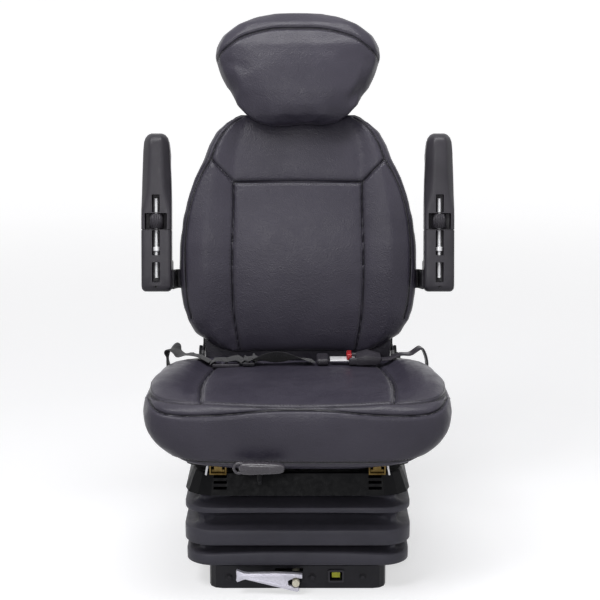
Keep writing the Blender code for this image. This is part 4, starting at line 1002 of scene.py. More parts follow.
@dataclass
class Belt:
    """Lap belt: webbing, folded adjuster, slider, tongue, buckle and stalk."""

    cover: Thing
    body: str = "seat_carriage"
    lift: float = 0.0030
    y: float = 0.078
    tongue_travel: float = 0.030

    def __post_init__(self) -> None:
        """Keep the cushion's surface for the belt to lie on."""
        self.tree = BVHTree.FromObject(self.cover, bpy.context.evaluated_depsgraph_get())

    def on(self, x: float, y: float, lift: float = 0.0) -> Point:
        """A point just above the cushion, at the highest place under the strip's width."""
        tops = []
        for shift in (-0.018, 0.0, 0.018):
            hit = self.tree.ray_cast(Vector((x, y + shift, 0.6)), Vector((0, 0, -1)))[0]
            if hit is not None:
                tops.append(hit.z)
        return (x, y, (max(tops) if tops else 0.34) + self.lift + lift)

    def webbing(self) -> None:
        """The left strip over the cushion's rear corner, and the lap strip."""
        route = [(-0.212, 0.140, 0.268), (-0.231, 0.134, 0.290), (-0.240, 0.122, 0.322),
                 (-0.231, 0.108, 0.351), self.on(-0.212, 0.096, 0.004), self.on(-0.196, 0.088, 0.003),
                 self.on(-0.178, 0.084, 0.002), self.on(-0.158, 0.081, 0.003)]
        tilt = [(0.0, 1.0, 0.0)] * 3 + [(0.1, 1.0, 0.0), (0.15, 1.0, -0.05), (0.15, 1.0, -0.15),
                                        (0.1, 1.0, -0.15), (0.0, 1.0, -0.1)]
        Strip("belt_strip_left", route, tilt).build(self.body, "belt_webbing_left")
        lap, lean = [], []
        for i in range(10):
            share = i / 9
            x = -0.0985 + 0.1264 * share
            rise = 0.009 * math.sin(math.pi * share) + 0.002
            lap.append(self.on(x, self.y - 0.008 * math.sin(math.pi * share), rise))
            turn = -0.10 - 0.75 * math.sin(math.pi * share) ** 2 * (1.0 - 0.4 * share)
            lean.append((0.0, math.cos(turn), math.sin(turn)))
        strip = Strip("belt_strip_lap", lap, lean, width=0.043).build(self.body, "belt_webbing_lap")
        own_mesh(strip)

    def slider(self, name: str, x0: float, x1: float, *nodes: str) -> None:
        """A three-bar slider with the webbing folded through it."""
        low = min(self.on(x0, self.y)[2], self.on(x1, self.y)[2]) - 0.0010
        half, middle, bar = 0.0255, (x0 + x1) / 2, 0.0024
        frame_shape = Shape()
        for side in (-1, 1):
            edge_y = self.y + side * half
            frame_shape.block((x0, edge_y - 0.0022, low), (x1, edge_y + 0.0022, low + 0.0065), 0.0014)
        for at in (x0 + 0.002, middle, x1 - 0.002):
            frame_shape.rod((at, self.y - half, low + 0.0035), (at, self.y + half, low + 0.0035), bar,
                            sides=14)
        frame_shape.piece(name, PLASTIC if nodes else STEEL, self.body, *nodes)
        loop = [(x0 - 0.004, low + 0.003), (x0 + 0.003, low + 0.0085), (middle - 0.008, low + 0.0095),
                (middle, low + 0.0085), (middle + 0.009, low + 0.0110), (x1 - 0.004, low + 0.0120),
                (x1 + 0.005, low + 0.0065)]
        Strip(f"{name}_fold", [(x, self.y + 0.001, z) for x, z in loop],
              [(0.0, 1.0, -0.12 + 0.02 * i) for i in range(len(loop))], width=0.044,
              thick=0.0020).build(self.body)

    def tongue(self) -> None:
        """Grip with finger ridges, and the steel tongue."""
        low, high = corners("belt_tongue_grip")
        shape = Shape().block(low + Vector((0.002, 0.001, 0.001)), high - Vector((0.002, 0.001, 0.0010)),
                              0.0045, segments=4)
        for i in range(4):
            x = low.x + 0.0075 + 0.0042 * i
            shape.block((x, low.y + 0.008, high.z - 0.0030), (x + 0.0018, high.y - 0.008, high.z - 0.0002),
                        0.0007, segments=2)
        shape.piece("belt_tongue_handle", PLASTIC, "belt_tongue", "belt_tongue_grip")
        low, high = corners("belt_tongue")
        outline = [(low.x, low.y), (high.x - 0.004, low.y), (high.x, low.y + 0.004),
                   (high.x, high.y - 0.004), (high.x - 0.004, high.y), (low.x, high.y)]
        at = Matrix.Translation((0, 0, (low.z + high.z) / 2))
        # The tongue plate's pale steel stands in for painted reflection.
        Shape().plate(outline, high.z - low.z, at, 0.0008).piece(
            "belt_tongue_plate", STEEL_PAINTED_REFLECTION, "belt_tongue", "belt_tongue")

    def buckle(self) -> None:
        """Buckle with a stepped face, its red button and the stalk to its anchor."""
        low, high = corners("buckle_body")
        shape = Shape()
        start, top = low.x + 0.0135, (low.x + high.x) / 2 + 0.004
        side = [(start, low.z), (high.x - 0.005, low.z + 0.0015), (high.x, low.z + 0.006),
                (high.x, high.z - 0.0050), (top, high.z + 0.0015), (start, high.z - 0.0035)]
        at = Matrix.Translation((0, (low.y + high.y) / 2, 0)) @ UPRIGHT
        shape.plate(side, high.y - low.y, at, 0.0030)
        for start, end in ((low.y + 0.0009, low.y + 0.0085), (high.y - 0.0085, high.y - 0.0009)):
            shape.block((low.x, start, low.z + 0.0006), (low.x + 0.024, end, high.z - 0.0045), 0.0030)
        shape.block((low.x, low.y + 0.004, low.z), (low.x + 0.030, high.y - 0.004, low.z + 0.0052), 0.0020)
        shape.piece("buckle_case", PLASTIC, self.body, "buckle_body")
        low, high = corners("buckle_button")
        low.z, high.z = low.z - 0.0040, high.z + 0.0022
        low.x, high.x, low.y = low.x - 0.0012, high.x - 0.0012, low.y - 0.0030
        shape = Shape().block(low, high, 0.0016, segments=3)
        for i in range(5):
            y = low.y + 0.005 + 0.0040 * i
            shape.block((low.x - 0.0004, y, low.z + 0.001),
                        (low.x + 0.002, y + 0.0012, high.z - 0.001), 0.0004)
        shape.piece("buckle_press", RED, "buckle_button", "buckle_button")
        edge = self.on(0.205, 0.097, 0.004)
        route = [(0.1510, self.y, low.z - 0.002), (0.166, 0.080, low.z - 0.001),
                 self.on(0.186, 0.088, 0.003), edge, (0.2262, 0.108, 0.352), (0.238, 0.122, 0.320),
                 (0.231, 0.134, 0.288), (0.2125, 0.140, 0.264)]
        tilt = [(0.0, 1.0, 0.0), (0.0, 1.0, 0.0), (-0.15, 1.0, -0.05), (-0.2, 1.0, 0.0),
                (-0.2, 1.0, 0.0), (-0.1, 1.0, 0.0), (0.0, 1.0, 0.0), (0.0, 1.0, 0.0)]
        Strip("buckle_strap", route, tilt, width=0.022, thick=0.0040, finish=PLASTIC,
              cup=0.0003).build(self.body, "buckle_stalk")

    def build(self) -> None:
        """Make the whole belt."""
        self.webbing()
        box_low, box_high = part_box("belt_adjuster")
        self.slider("belt_slider_wide", box_low[0], box_high[0], "belt_adjuster")
        self.slider("belt_slider_narrow", box_high[0] + 0.0055, box_high[0] + 0.0275)
        self.tongue()
        self.buckle()


@dataclass
class Lever:
    """Cast weight lever with a recessed handle and a forked end."""

    spindle: Flat = (-0.003, 0.0225)
    y: float = -0.197
    thick: float = 0.010

    def outline(self) -> list[Flat]:
        """The lever's outline about its spindle."""
        points = [(0.0109, 0.0077), (0.0109, 0.0146), (-0.004, 0.0160), (-0.030, 0.0172),
                  (-0.080, 0.0163), (-0.087, 0.0170), (-0.0985, 0.0220), (-0.100, 0.0195),
                  (-0.0992, 0.0115), (-0.100, 0.0035), (-0.098, 0.0010), (-0.088, 0.0050),
                  (-0.084, 0.0058), (-0.060, -0.0005), (-0.030, -0.0080), (-0.010, -0.0135),
                  (0.0025, -0.0163), (0.0059, -0.0140)]
        jaw = [(0.0088 * math.cos(turn), 0.0088 * math.sin(turn))
               for turn in np.radians(np.linspace(-60.0, -135.0, 6))]
        throat = [(-0.0105, -0.0050), (-0.0128, -0.0030)]
        lower = jaw + throat
        return points + lower + [(x, -z) for x, z in reversed(lower)]

    def build(self) -> None:
        """Make the lever."""
        x, z = self.spindle
        at = Matrix.Translation((x, self.y, z)) @ UPRIGHT
        front = self.y - self.thick / 2
        shape = Shape().plate(self.outline(), self.thick, at, 0.0014)
        ridge = [(-0.078, 0.0128), (-0.030, 0.0140), (-0.016, 0.0130), (-0.020, 0.0108),
                 (-0.034, 0.0114), (-0.076, 0.0108)]
        lift = Matrix.Translation((x, front - 0.0002, z)) @ UPRIGHT
        rib = [(-0.074, 0.0072), (-0.046, 0.0030), (-0.020, -0.0042), (-0.017, -0.0066),
               (-0.030, -0.0050), (-0.062, 0.0026), (-0.076, 0.0062)]
        for raised in (ridge, rib):
            shape.plate(raised, 0.0020, lift, 0.0007)
        shape.piece("weight_lever_cast", CAST, "weight_lever", "weight_lever")
        rear = self.y + self.thick / 2
        # The hub wears the painted-shade coat, near black like the shade behind the lever.
        hub = Shape().rod((x - 0.002, rear, z), (x - 0.002, rear - 0.0030, z), 0.0118, sides=36, edge=0.0006)
        hub.piece("weight_lever_hub", SHADOW_COAT, "weight_lever")


@dataclass
class Fittings:
    """Slide handle, base bolts and rail stops."""

    def handle(self) -> None:
        """Moulded paddle with a loop at its left end."""
        low, high = corners("slide_handle_grip")
        low.z, high.z = low.z - 0.0040, high.z + 0.0010
        middle_y = (low.y + high.y) / 2
        rings = []
        for share in (0.0, 0.03, 0.10, 0.25, 0.5, 0.75, 0.90, 0.97, 1.0):
            x = low.x + 0.010 + (high.x - low.x - 0.010) * share
            swell = (1.0 - abs(2 * share - 1.0) ** 7) ** 0.35 if 0 < share < 1 else 0.28
            top = high.z - 0.0030 * share
            bottom = low.z + 0.0030 * share
            half_z, half_y = (top - bottom) / 2 * swell, (high.y - low.y) / 2 * swell
            centre = (top + bottom) / 2
            rings.append([(x, middle_y + half_y * blunt(math.cos(t)), centre + half_z * blunt(math.sin(t)))
                          for t in round_turn(24)])
        centre = (low.z + high.z) / 2
        turn = ((0.016, high.z - 0.0035), (0.007, high.z - 0.0035), (0.0025, centre + 0.002),
                (0.0025, centre - 0.002), (0.007, low.z + 0.0035), (0.016, low.z + 0.0035))
        loop = [(low.x + x, middle_y, z) for x, z in turn]
        Shape().loft(rings).tube(loop, 0.0024, 12).piece(
            "slide_handle_paddle", GLOSSY, "slide_handle", "slide_handle_grip")

    def bolts(self) -> None:
        """Domed hexagon bolts with washers on the base's front."""
        for number in (1, 2, 3):
            low, high = corners(f"front_bolt_{number}")
            x, z = (low.x + high.x) / 2, (low.z + high.z) / 2
            radius, rear = (high.x - low.x) / 2, high.y
            shape = Shape().rod((x, rear, z), (x, rear - 0.0010, z), radius, sides=28, edge=0.0004)
            shape.rod((x, rear - 0.0010, z), (x, low.y + 0.0004, z), radius * 0.84, sides=6, edge=0.0009)
            shape.piece(f"base_bolt_{number}", STEEL, "base", f"front_bolt_{number}")

    def stops(self) -> None:
        """Rail stops: a bright slanted strip beside each rail's front end, whose pale steel stands in for
        painted glints on the frame's bracket edges.
        """
        for side, word in ((-1, "left"), (1, "right")):
            low, high = corners(f"rail_lower_{word}")
            outer = high.x if side > 0 else low.x
            lean = Matrix.Rotation(side * math.radians(-10.0), 4, "Y")
            start = outer + side * 0.0030
            ends = sorted((start, start + side * 0.0034))
            shape = Shape().block((ends[0], low.y - 0.001, low.z - 0.0005), (ends[1], low.y + 0.030, high.z),
                                  0.0008, turn=lean, segments=2)
            shape.piece(f"rail_glint_strip_{word}", STEEL_PAINTED_REFLECTION, "upper_frame")

    def build(self) -> None:
        """Make the fittings."""
        self.handle()
        self.bolts()
        self.stops()


def rounded_path(points: list[Flat], turns: int = 3,
                 closed: bool = False) -> list[Flat]:
    """Cut a polyline's corners again and again, so that they turn round."""
    for _ in range(turns):
        made = [] if closed else [points[0]]
        pairs = zip(points, points[1:] + points[:1]) if closed else zip(points, points[1:])
        for (ax, ay), (bx, by) in pairs:
            reach = math.hypot(bx - ax, by - ay)
            cut = min(0.25, 0.0024 / max(reach, 1e-6))
            made.append((ax + (bx - ax) * cut, ay + (by - ay) * cut))
            made.append((bx + (ax - bx) * cut, by + (ay - by) * cut))
        if not closed:
            made.append(points[-1])
        points = made
    return points


class KnurlTree(RepeatTree):
    """Stands ribs round a wheel."""

    def __init__(self) -> None:
        """Set a rib on each point of a circle."""
        super().__init__(
            "knurl_ribs",
            {"Count": "Int", "Radius": "Float", "Height": "Float", "Rib": "Float",
             "Finish": "Material"},
            {"circle": ("GeometryNodeMeshCircle", {}), "rib": ("GeometryNodeMeshCylinder", {})},
            ("start Count > circle Vertices", "start Radius > circle Radius",
             "start Height > rib Depth", "start Rib > rib Radius", "circle Mesh > put Points",
             "rib Mesh > put Instance"))
        self.nodes["rib"].inputs["Vertices"].default_value = 8

    def run(self, name: str, at: Matrix, **sizes: float) -> Thing:
        """Make the ribs as a plain mesh about a place."""
        obj = show(bpy.data.objects.new(name, bpy.data.meshes.new(name)))
        self.grow(obj, PLASTIC, **sizes)
        obj.data.transform(at)
        return obj


KNURLS = KnurlTree()


@dataclass
class Armrest:
    """Moulded underside of an armrest with its thumbwheel, screw and stop nut."""

    word: str
    x: float = 0.259
    half: float = 0.0275
    front: float = -0.0785
    split: float = -0.048
    rear: float = -0.0185
    screw_v: float = -0.068
    wheel_u: float = 0.257
    nut_u: float = 0.206
    screw_low: float = 0.1535
    screw_high: float = 0.2985
    screw_r: float = 0.00335
    thread_depth: float = 0.00013
    pitch: float = 0.0020
    wheel_r: float = 0.0112
    wheel_half: float = 0.0132

    def __post_init__(self) -> None:
        """Put the armrest on its side."""
        self.side = -1 if self.word == "left" else 1
        self.at = self.side * self.x
        self.body = f"armrest_{self.word}"

    def ring(self, u: float) -> list[Point]:
        """One section of the moulding: a raised face between slanted, rounded sides."""
        face = ((0.128, 0.0200), (0.134, 0.0245), (0.262, 0.0245), (0.278, 0.0232), (0.293, 0.0190),
                (0.308, 0.0153), (0.330, 0.0134), (0.367, 0.0121), (0.400, 0.0112), (0.418, 0.0090))
        edge = ((0.128, 0.0215), (0.1295, 0.0245), (0.133, 0.0268), (0.139, 0.0275), (0.290, 0.0275),
                (0.330, 0.0268), (0.385, 0.0248), (0.402, 0.0232), (0.410, 0.0205), (0.4155, 0.0160),
                (0.418, 0.0110))
        lean = ((0.128, 0.0090), (0.1295, 0.0055), (0.133, 0.0022), (0.139, 0.0), (0.398, 0.0),
                (0.406, 0.0018), (0.412, 0.0060), (0.416, 0.0120), (0.418, 0.0200))
        pick = [np.interp(u, *zip(*table)) for table in (face, edge, lean)]
        ridge, half, back = float(pick[0]), float(pick[1]), float(pick[2])
        ridge = min(ridge, half - 0.0008)
        if abs(u - 0.2412) < 0.0006:
            half, ridge, back = half - 0.0012, ridge - 0.0012, back + 0.0012
        front = self.front + back
        side = min(front + 1.15 * (half - ridge) + 0.001, self.split - 0.002)
        line = mirrored(((ridge, front), (half, side), (half, self.split)))
        return [(self.at + x, v, u) for x, v in rounded_path(line, 3)]

    def cutters(self) -> Thing:
        """The slots, the wheel's window, the screw's bore, the foot's hole and the pivot's bore."""
        x, out = self.at, self.front - 0.01
        window = (self.wheel_u - 0.0147, self.wheel_u + 0.0146)
        shape = Shape()
        for low, high in ((window[1] + 0.0014, window[1] + 0.0339),
                          (self.nut_u - 0.0113, window[0] - 0.0018), (0.1453, 0.1820)):
            shape.block((x - 0.0073, out, low), (x + 0.0073, -0.0605, high), 0.0014, segments=2)
        shape.block((x - 0.0205, out, window[0]), (x + 0.0205, -0.0545, window[1]), 0.0014, segments=2)
        shape.rod((x, self.screw_v, 0.140), (x, self.screw_v, 0.308), 0.0041, sides=20)
        shape.rod((x, out, 0.1367), (x, -0.066, 0.1367), 0.0024, sides=20)
        shape.rod((x - self.side * 0.05, -0.040, 0.150), (x + self.side * 0.0005, -0.040, 0.150), 0.0066)
        return shape.bare("cutters")

    def moulding(self) -> None:
        """The underside with its slots cut, and the heel behind it."""
        heights = [0.128, 0.1295, 0.131, 0.133, 0.136, 0.139, 0.16, 0.19, 0.22, 0.2404, 0.2407, 0.2417,
                   0.2420, 0.262, 0.270, 0.278, 0.286, 0.293, 0.300, 0.308, 0.318, 0.330, 0.348, 0.367,
                   0.385, 0.395, 0.402, 0.406, 0.410, 0.413, 0.4155, 0.417, 0.418]
        core = Shape().loft([self.ring(u) for u in heights]).bare("moulding")
        heel = Shape().block((self.at - self.half, self.split - 0.010, 0.131),
                             (self.at + self.half, self.rear, 0.186), 0.004, segments=4).bare("heel")
        cutters = self.cutters()
        for tool, operation in ((heel, "UNION"), (cutters, "DIFFERENCE")):
            join(core, tool, operation, own=True)
        bake(core)
        for tool in (heel, cutters):
            bpy.data.objects.remove(tool, do_unlink=True)
        shape = Shape()
        shape.work.from_mesh(core.data)
        bpy.data.objects.remove(core, do_unlink=True)
        shape.piece(f"armrest_{self.word}_moulding", PLASTIC, self.body, f"armrest_{self.word}_core",
                    frame_at=BACK, sharp=28.0)

    def wheel(self) -> None:
        """Thumbwheel with its ribs, on the threaded screw."""
        body = f"armrest_{self.word}_wheel"
        x, v, u = self.at, self.screw_v, self.wheel_u
        shape = Shape()
        for end in (u + self.wheel_half, u - self.wheel_half):
            shape.rod((x, v, u), (x, v, end), self.wheel_r, sides=40, edge=0.0008)
        shape.piece(f"thumbwheel_{self.word}", PLASTIC, body, f"armrest_{self.word}_wheel",
                    frame_at=BACK, sharp=20.0)
        ribs = KNURLS.run(f"thumbwheel_{self.word}_ribs", BACK @ Matrix.Translation((x, v, u)),
                          Count=20, Radius=0.0109, Height=0.0250, Rib=0.0014)
        ribs.data.shade_smooth()
        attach(ribs, body)
        rings = []
        for share in np.linspace(0.0, 1.0, THREAD_RINGS):
            height = self.screw_low + (self.screw_high - self.screw_low) * share
            ring = []
            for turn in round_turn(14):
                wave = math.cos(2 * math.pi * height / self.pitch - turn)
                radius = self.screw_r + self.thread_depth * wave
                ring.append((x + radius * math.cos(turn), v + radius * math.sin(turn), height))
            rings.append(ring)
        # The screw's pale steel stands in for painted reflection.
        Shape().loft(rings).piece(f"adjuster_{self.word}_screw", STEEL_PAINTED_REFLECTION, body,
                                  f"armrest_{self.word}_screw", frame_at=BACK, sharp=70.0)

    def nut(self) -> None:
        """Square stop nut with chamfered edges, open round the screw."""
        x, v, u = self.at, self.screw_v, self.nut_u
        outline = rounded_path([(-0.0060, -0.0055), (0.0060, -0.0055), (0.0060, 0.0055),
                                (-0.0060, 0.0055)], 2, closed=True)
        rings = []
        for grow, height in ((-0.0008, -0.0040), (0.0, -0.0032), (0.0, 0.0032), (-0.0008, 0.0040)):
            rings.append([(x + px * (1.0 + grow / 0.006), v + py * (1.0 + grow / 0.006), u + height)
                          for px, py in outline])
        for height in (0.0040, -0.0040):
            ring = []
            for px, py in outline:
                reach = 0.0037 / math.hypot(px, py)
                ring.append((x + px * reach, v + py * reach, u + height))
            rings.append(ring)
        # The nut's pale steel stands in for painted reflection.
        Shape().loft(rings, caps=False).piece(f"stop_nut_{self.word}", STEEL_PAINTED_REFLECTION,
                                              f"armrest_{self.word}_nut",
                                              f"armrest_{self.word}_nut", frame_at=BACK)

    def build(self) -> None:
        """Make the armrest's hard pieces."""
        self.moulding()
        self.wheel()
        self.nut()


@dataclass
class RearShell:
    """Moulded rear cover with a raised field, ribs, vents and screws."""

    low_v: float = 0.0353
    deep: float = 0.090
    top: float = 0.460
    wall: float = 0.003
    ribs: int = 5
    screw_r: float = 0.0058
    guide_r: float = 0.0126

    def half_width(self, u: float) -> float:
        """Half width of the cover at a height."""
        table = ((0.060, 0.1970), (0.085, 0.2000), (0.215, 0.2000), (0.250, 0.2000), (0.270, 0.1990),
                 (0.315, 0.1945), (0.352, 0.1795), (0.384, 0.1640), (0.413, 0.1540), (0.440, 0.1390),
                 (0.456, 0.1180), (0.460, 0.1080))
        return float(np.interp(u, *zip(*table)))

    def ring(self, u: float, inset: float, height: float | None = None) -> list[Point]:
        """One section: flat across the middle, rolling round to its sides."""
        wide = self.half_width(u) - inset
        deep = self.deep - 0.012 * (1.0 - min(u / 0.2, 1.0)) - inset
        deep -= 0.020 * max(0.0, (u - 0.430) / 0.030) ** 2
        field_edge = 0.0030 * (0.100 < u < 0.370)
        line = mirrored(((0.53 * wide, deep - field_edge), (0.56 * wide, deep),
                         (0.62 * wide, deep - 0.001), (wide - 0.030, deep - 0.004),
                         (wide - 0.010, deep - 0.013), (wide, deep - 0.030), (wide, self.low_v)))
        return [(x, v, u if height is None else height) for x, v in rounded_path(line, 2)]

    def build(self) -> None:
        """Make the cover with its ribs and screws."""
        heights = [0.060, 0.063, 0.08, 0.098, 0.101, 0.13, 0.16, 0.20, 0.24, 0.28, 0.31, 0.34, 0.368,
                   0.371, 0.39, 0.405, 0.420, 0.432, 0.442, 0.450, 0.456, 0.460]
        outer = [self.ring(u, 0.0) for u in heights]
        inner = [self.ring(u, self.wall, min(u, self.top - self.wall)) for u in reversed(heights)]
        mesh_shape = Shape().loft(outer + inner, caps=False)
        for u in np.linspace(0.155, 0.315, self.ribs):
            mesh_shape.block((-0.070, self.deep - 0.0045, u), (0.070, self.deep - 0.0010, u + 0.012),
                             0.0012)
        for side in (-1, 1):
            for u in (0.120, 0.340):
                mesh_shape.rod((side * 0.160, self.deep - 0.010, u), (side * 0.160, self.deep - 0.0015, u),
                               self.screw_r, sides=28, edge=0.0012)
        cover = mesh_shape.piece("rear_cover", PLASTIC, "backrest", "backrest_shell", frame_at=BACK,
                                 sharp=32.0)
        cutter = Shape()
        for side in (-1, 1):
            cutter.rod((side * 0.052, 0.0579, self.top - 0.02), (side * 0.052, 0.0579, self.top + 0.02),
                       self.guide_r, sides=32)
            cutter.block((min(side * 0.15, side * 0.25), 0.02, 0.128),
                         (max(side * 0.15, side * 0.25), 0.0495, 0.172), 0.0008, segments=2)
        tool = cutter.bare("openings", BACK)
        join(cover, tool, "DIFFERENCE")
        bake(cover)
        bpy.data.objects.remove(tool, do_unlink=True)
        wear(cover, PLASTIC)


@dataclass
class Apron:
    """Vinyl flap that hangs from the backrest's foot and closes the gap above the cushion."""

    half: float = 0.1745
    thick: float = 0.0020

    def build(self) -> None:
        """Make the flap."""
        rings = []
        for share in np.linspace(-1.0, 1.0, 41):
            x = self.half * share
            sway = 0.0012 * math.sin(9.0 * share) + 0.0008 * math.sin(23.0 * share + 1.0)
            lift = 0.024 * abs(share) ** 5
            down = [(0.0170, 0.020 + lift), (0.0190, 0.004 + lift * 0.4), (0.0215 + sway, -0.014),
                    (0.0240 + sway * 1.6, -0.030), (0.0262 + sway * 2.0, -0.0440)]
            back = [(v + self.thick, u) for v, u in reversed(down)]
            rings.append([(x, v, u) for v, u in down + back])
        flap = Shape().loft(rings).piece("backrest_flap", VINYL, "backrest", frame_at=BACK,
                                         slot="vinyl", sharp=50.0)


def back_seam(*points: Flat, **sizes: float) -> Seam:
    """A seam on the front of the backrest, in its own width and height."""
    return Seam(FRONT_OF_BACK, points, **sizes)


def mirror(points: tuple[Flat, ...]) -> tuple[Flat, ...]:
    """The mirror image of a line."""
    return tuple((-x, y) for x, y in points)


@dataclass
class Cushion:
    """Seat cushion with a dished insert, side bolsters and a sewn front band."""

    insert_x: float = 0.162
    front_y: float = -0.2400
    rear_y: float = 0.120

    def seams(self) -> list[Seam]:
        """The insert's two sides and the band line round the front."""
        made = []
        for side in (-1, 1):
            x = side * self.insert_x
            made.append(Seam(TOP, ((x * 0.86, self.rear_y), (x * 0.95, 0.02), (x, -0.10),
                                   (x * 0.98, -0.20), (x * 0.96, self.front_y)), depth=0.0036))
        band = mirrored(((0.055, -0.2470), (0.105, -0.2440), (0.154, -0.2400), (0.200, -0.2330),
                         (0.226, -0.2180), (0.240, -0.1960), (0.2480, -0.160), (0.2520, -0.110)),
                        (0.0, -0.2475))
        under = mirrored(((0.055, 0.3385), (0.105, 0.3330), (0.154, 0.3300), (0.204, 0.3305),
                          (0.230, 0.3360), (0.246, 0.3440)), (0.0, 0.3400))
        hem = mirrored(((0.10, 0.2500), (0.215, 0.2520)), (0.0, 0.2495))
        made += [Seam(TOP, band, depth=0.0040, rows=(-0.0050, 0.0050)),
                 Seam(FRONT, under, depth=0.0030, rows=()),
                 Seam(FRONT, hem, depth=0.0028, rows=(0.0045,))]
        return made

    def build(self) -> Thing:
        """Make the cushion and return it."""
        rest = (TOP, 0.2336 - 0.6, 0.180)
        return Pad("seat_cushion", "seat_carriage", self.seams(), voxel=0.006, cap=0.009,
                   shrink=0.004, smooth=9, fill=0.8, lows=(rest,)).build()


@dataclass
class Back:
    """Backrest pad with a panelled middle, side bolsters and a top band."""

    panel_x: float = 0.118
    cross_u: float = 0.330

    def seams(self) -> list[Seam]:
        """The cross seam, the panel's sides, the shoulder lines and the edge line."""
        x, u = self.panel_x, self.cross_u
        made = [back_seam((-x, u), (0.0, u + 0.001), (x, u), depth=0.0034)]
        for depth, line in (
                (0.0030, ((x, u), (x + 0.001, 0.26), (x + 0.003, 0.18), (x + 0.001, 0.09),
                          (x - 0.006, 0.035), (x - 0.012, 0.005))),
                (0.0032, ((x, u), (x + 0.020, 0.350), (x + 0.045, 0.374))),
                (0.0034, ((0.104, 0.452), (0.128, 0.436), (0.150, 0.405), (0.163, 0.372),
                          (0.180, 0.345), (0.195, 0.310), (0.206, 0.265), (0.211, 0.215),
                          (0.211, 0.160), (0.207, 0.110), (0.199, 0.075)))):
            made += [back_seam(*line, depth=depth), back_seam(*mirror(line), depth=depth)]
        return made

    def build(self) -> None:
        """Make the backrest pad."""
        Pad("backrest_pad", "backrest", self.seams(), voxel=0.0055, cap=0.009, shrink=0.0035,
            smooth=8, fill=0.75).build()


@dataclass
class Head:
    """Headrest pad with a top panel."""

    def seams(self) -> list[Seam]:
        """The line under the top panel."""
        top = mirrored(((0.042, 0.608), (0.083, 0.600), (0.112, 0.588), (0.141, 0.565),
                        (0.149, 0.552)), (0.0, 0.609))
        return [back_seam(*top, depth=0.0030)]

    def build(self) -> None:
        """Make the headrest pad."""
        Pad("headrest_pad", "headrest", self.seams(), voxel=0.0045, cap=0.007, shrink=0.003,
            smooth=8, fill=0.8).build()


@dataclass
class ArmPad:
    """Upholstered top of one armrest."""

    word: str

    def build(self) -> None:
        """Make the pad."""
        Pad(f"armrest_{self.word}_pad", f"armrest_{self.word}", [], voxel=0.004, cap=0.005,
            shrink=0.002, smooth=5, fill=0.7).build()


def dress_hard_parts() -> None:
    """Give the rigid pieces that keep their modelled shape a finish."""
    sets = (
        (STEEL, ("base_tray", "scissor_outer", "scissor_inner", "backrest_hoop",
                 "recliner_plate_left", "recliner_plate_right")),
        # Painted shade: the parts under the cushion wear the near-black copy of the powder coat.
        (SHADOW_COAT, ("upper_frame", "roller_channel_left", "roller_channel_right", "spring_anchor",
                "seat_pan", "slide_handle_bar")),
        (PLASTIC, ("weight_window", "recline_lever", "headrest_plate", "headrest_guide_left",
                   "headrest_guide_right")),
        (ZINC, ("rail_lower_left", "rail_lower_right", "rail_upper_left", "rail_upper_right",
                "spring_left", "spring_right")),
        (CREAM, ("weight_spindle",)), (TAG, ("weight_tag",)), (CHROME, ("headrest_bar",)),
        (NYLON, ("roller_top_left", "roller_top_right", "roller_bottom_left",
                 "roller_bottom_right")))
    for finish, nodes in sets:
        for node in nodes:
            wear(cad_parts[node], finish)
        log.info("%s: %d nodes", finish.name, len(nodes))


def pale_rays(tree: bpy.types.NodeTree) -> bpy.types.NodeSocket:
    """One for the rays that show the background: camera, glossy and transmission rays.

    Args:
        tree: node tree of a material or of the world.

    Returns:
        The socket that is 1 for those rays and 0 for the rest.
    """
    ways = tree.nodes.new("ShaderNodeLightPath")
    seen = ways.outputs["Is Camera Ray"]
    for name in ("Is Glossy Ray", "Is Transmission Ray"):
        most = tree.nodes.new("ShaderNodeMath")
        most.operation = "MAXIMUM"
        tree.links.new(seen, most.inputs[0])
        tree.links.new(ways.outputs[name], most.inputs[1])
        seen = most.outputs["Value"]
    return seen


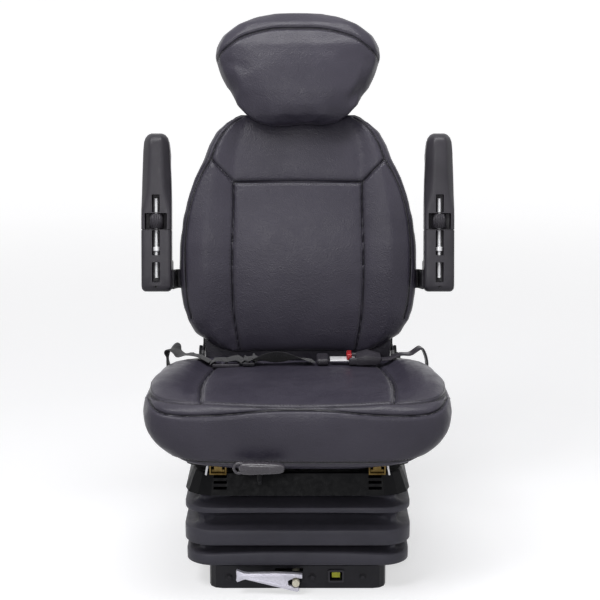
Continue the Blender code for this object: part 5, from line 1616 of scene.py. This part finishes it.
@dataclass
class Studio:
    """Round white sweep, soft lamps, world and camera."""

    place: Point = (0.004, -2.55, 1.0)
    tilt: float = math.radians(78.14)
    lens: float = 89.52
    lamp_power: float = 30.0
    floor_r: float = 4.2
    cove_r: float = 1.8
    wall_top: float = 6.0
    world_level: float = 0.13
    floor_glow: Flat = (0.60, 0.90)
    glow_reach: Flat = (1.2, 5.0)
    sides: int = 96
    sensor: float = 36.0

    def bright(self, name: str, colour: Colour) -> bpy.types.Material:
        """A pale floor that the camera and mirrors see near white, keeping soft shadows."""
        tree = Tree(name)
        tree.shader.inputs["Base Color"].default_value = (*colour, 1.0)
        tree.shader.inputs["Roughness"].default_value = 0.9
        tree.shader.inputs["Emission Color"].default_value = (1.0, 1.0, 1.0, 1.0)
        reach = tree.put("ShaderNodeVectorMath", "Value", {0: tree.place()}, operation="LENGTH")
        level = tree.spread(reach, *self.floor_glow, self.glow_reach)
        glow = tree.sums(level, pale_rays(tree.material.node_tree), "MULTIPLY")
        tree.link(glow, tree.shader.inputs["Emission Strength"])
        return tree.material

    def sweep(self) -> None:
        """Round floor that curves up into a backdrop on every side."""
        count = self.sides
        turns = round_turn(count)
        profile = [(1.0, 0.0)]
        for t in np.linspace(0.0, math.pi / 2, 12):
            profile.append((self.floor_r + self.cove_r * math.sin(t),
                            self.cove_r * (1.0 - math.cos(t))))
        profile.append((self.floor_r + self.cove_r, self.wall_top))
        verts = [(r * math.cos(t), r * math.sin(t), z - 0.0002) for r, z in profile for t in turns]
        faces = [tuple(range(count))]
        for row in range(0, (len(profile) - 1) * count, count):
            for i in range(count):
                j = (i + 1) % count
                faces.append((row + i, row + count + i, row + count + j, row + j))
        mesh = bpy.data.meshes.new("sweep")
        mesh.from_pydata(verts, [], faces)
        mesh.shade_smooth()
        floor = show(bpy.data.objects.new("sweep", mesh))
        floor.data.materials.append(self.bright("sweep_white", (0.50, 0.50, 0.52)))

    def lamp(self, name: str, at: Point, to: Point, size: Flat,
             power: float) -> None:
        """A rectangular soft lamp."""
        data = bpy.data.lights.new(name, "AREA")
        data.shape = "RECTANGLE"
        data.size, data.size_y = size
        data.energy = power
        lamp = show(bpy.data.objects.new(name, data))
        lamp.location = at
        lamp.rotation_euler = (Vector(to) - Vector(at)).to_track_quat("-Z", "Y").to_euler()

    def world(self) -> None:
        """A world that lights dimly and looks white."""
        made = bpy.data.worlds.new("studio")
        made.use_nodes = True
        nodes, links = made.node_tree.nodes, made.node_tree.links
        level = nodes.new("ShaderNodeMapRange")
        level.inputs["To Min"].default_value = self.world_level
        level.inputs["To Max"].default_value = 1.0
        links.new(pale_rays(made.node_tree), level.inputs["Value"])
        links.new(level.outputs["Result"], nodes["Background"].inputs["Strength"])
        nodes["Background"].inputs["Color"].default_value = (1.0, 1.0, 1.0, 1.0)
        bpy.context.scene.world = made

    def build(self) -> None:
        """Set the stage, lamps and camera."""
        self.world()
        self.sweep()
        for name, at, to, size, share in (
                ("key", (-1.2, -1.5, 2.7), (0.0, 0.0, 0.45), (1.1, 1.1), 1.3),
                ("fill", (1.9, -1.7, 1.5), (0.0, 0.0, 0.45), (1.6, 1.6), 0.22),
                ("front", (-0.20, -2.75, 1.22), (0.0, 0.1, 0.60), (0.5, 0.35), 0.45),
                ("top", (0.1, -0.5, 2.6), (0.0, 0.0, 0.4), (1.4, 1.0), 1.15)):
            self.lamp(name, at, to, size, self.lamp_power * share)
        data = bpy.data.cameras.new("camera")
        data.lens = self.lens
        data.sensor_width = self.sensor
        camera = show(bpy.data.objects.new("camera", data))
        camera.location = self.place
        camera.rotation_euler = (self.tilt, 0.0, 0.0)
        scene = bpy.context.scene
        scene.camera = camera
        scene.view_settings.view_transform = "Standard"


def main() -> None:
    """Build the studio, dress the hard parts and make the padded ones."""
    logging.basicConfig(level=logging.INFO, format="%(name)s %(message)s")
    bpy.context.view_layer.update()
    Studio().build()
    dress_hard_parts()
    Bellows().build()
    Lever().build()
    Fittings().build()
    Belt(Cushion().build()).build()
    Back().build()
    Head().build()
    RearShell().build()
    Apron().build()
    for word in ("left", "right"):
        ArmPad(word).build()
        Armrest(word).build()


if __name__ == "__main__":
    main()
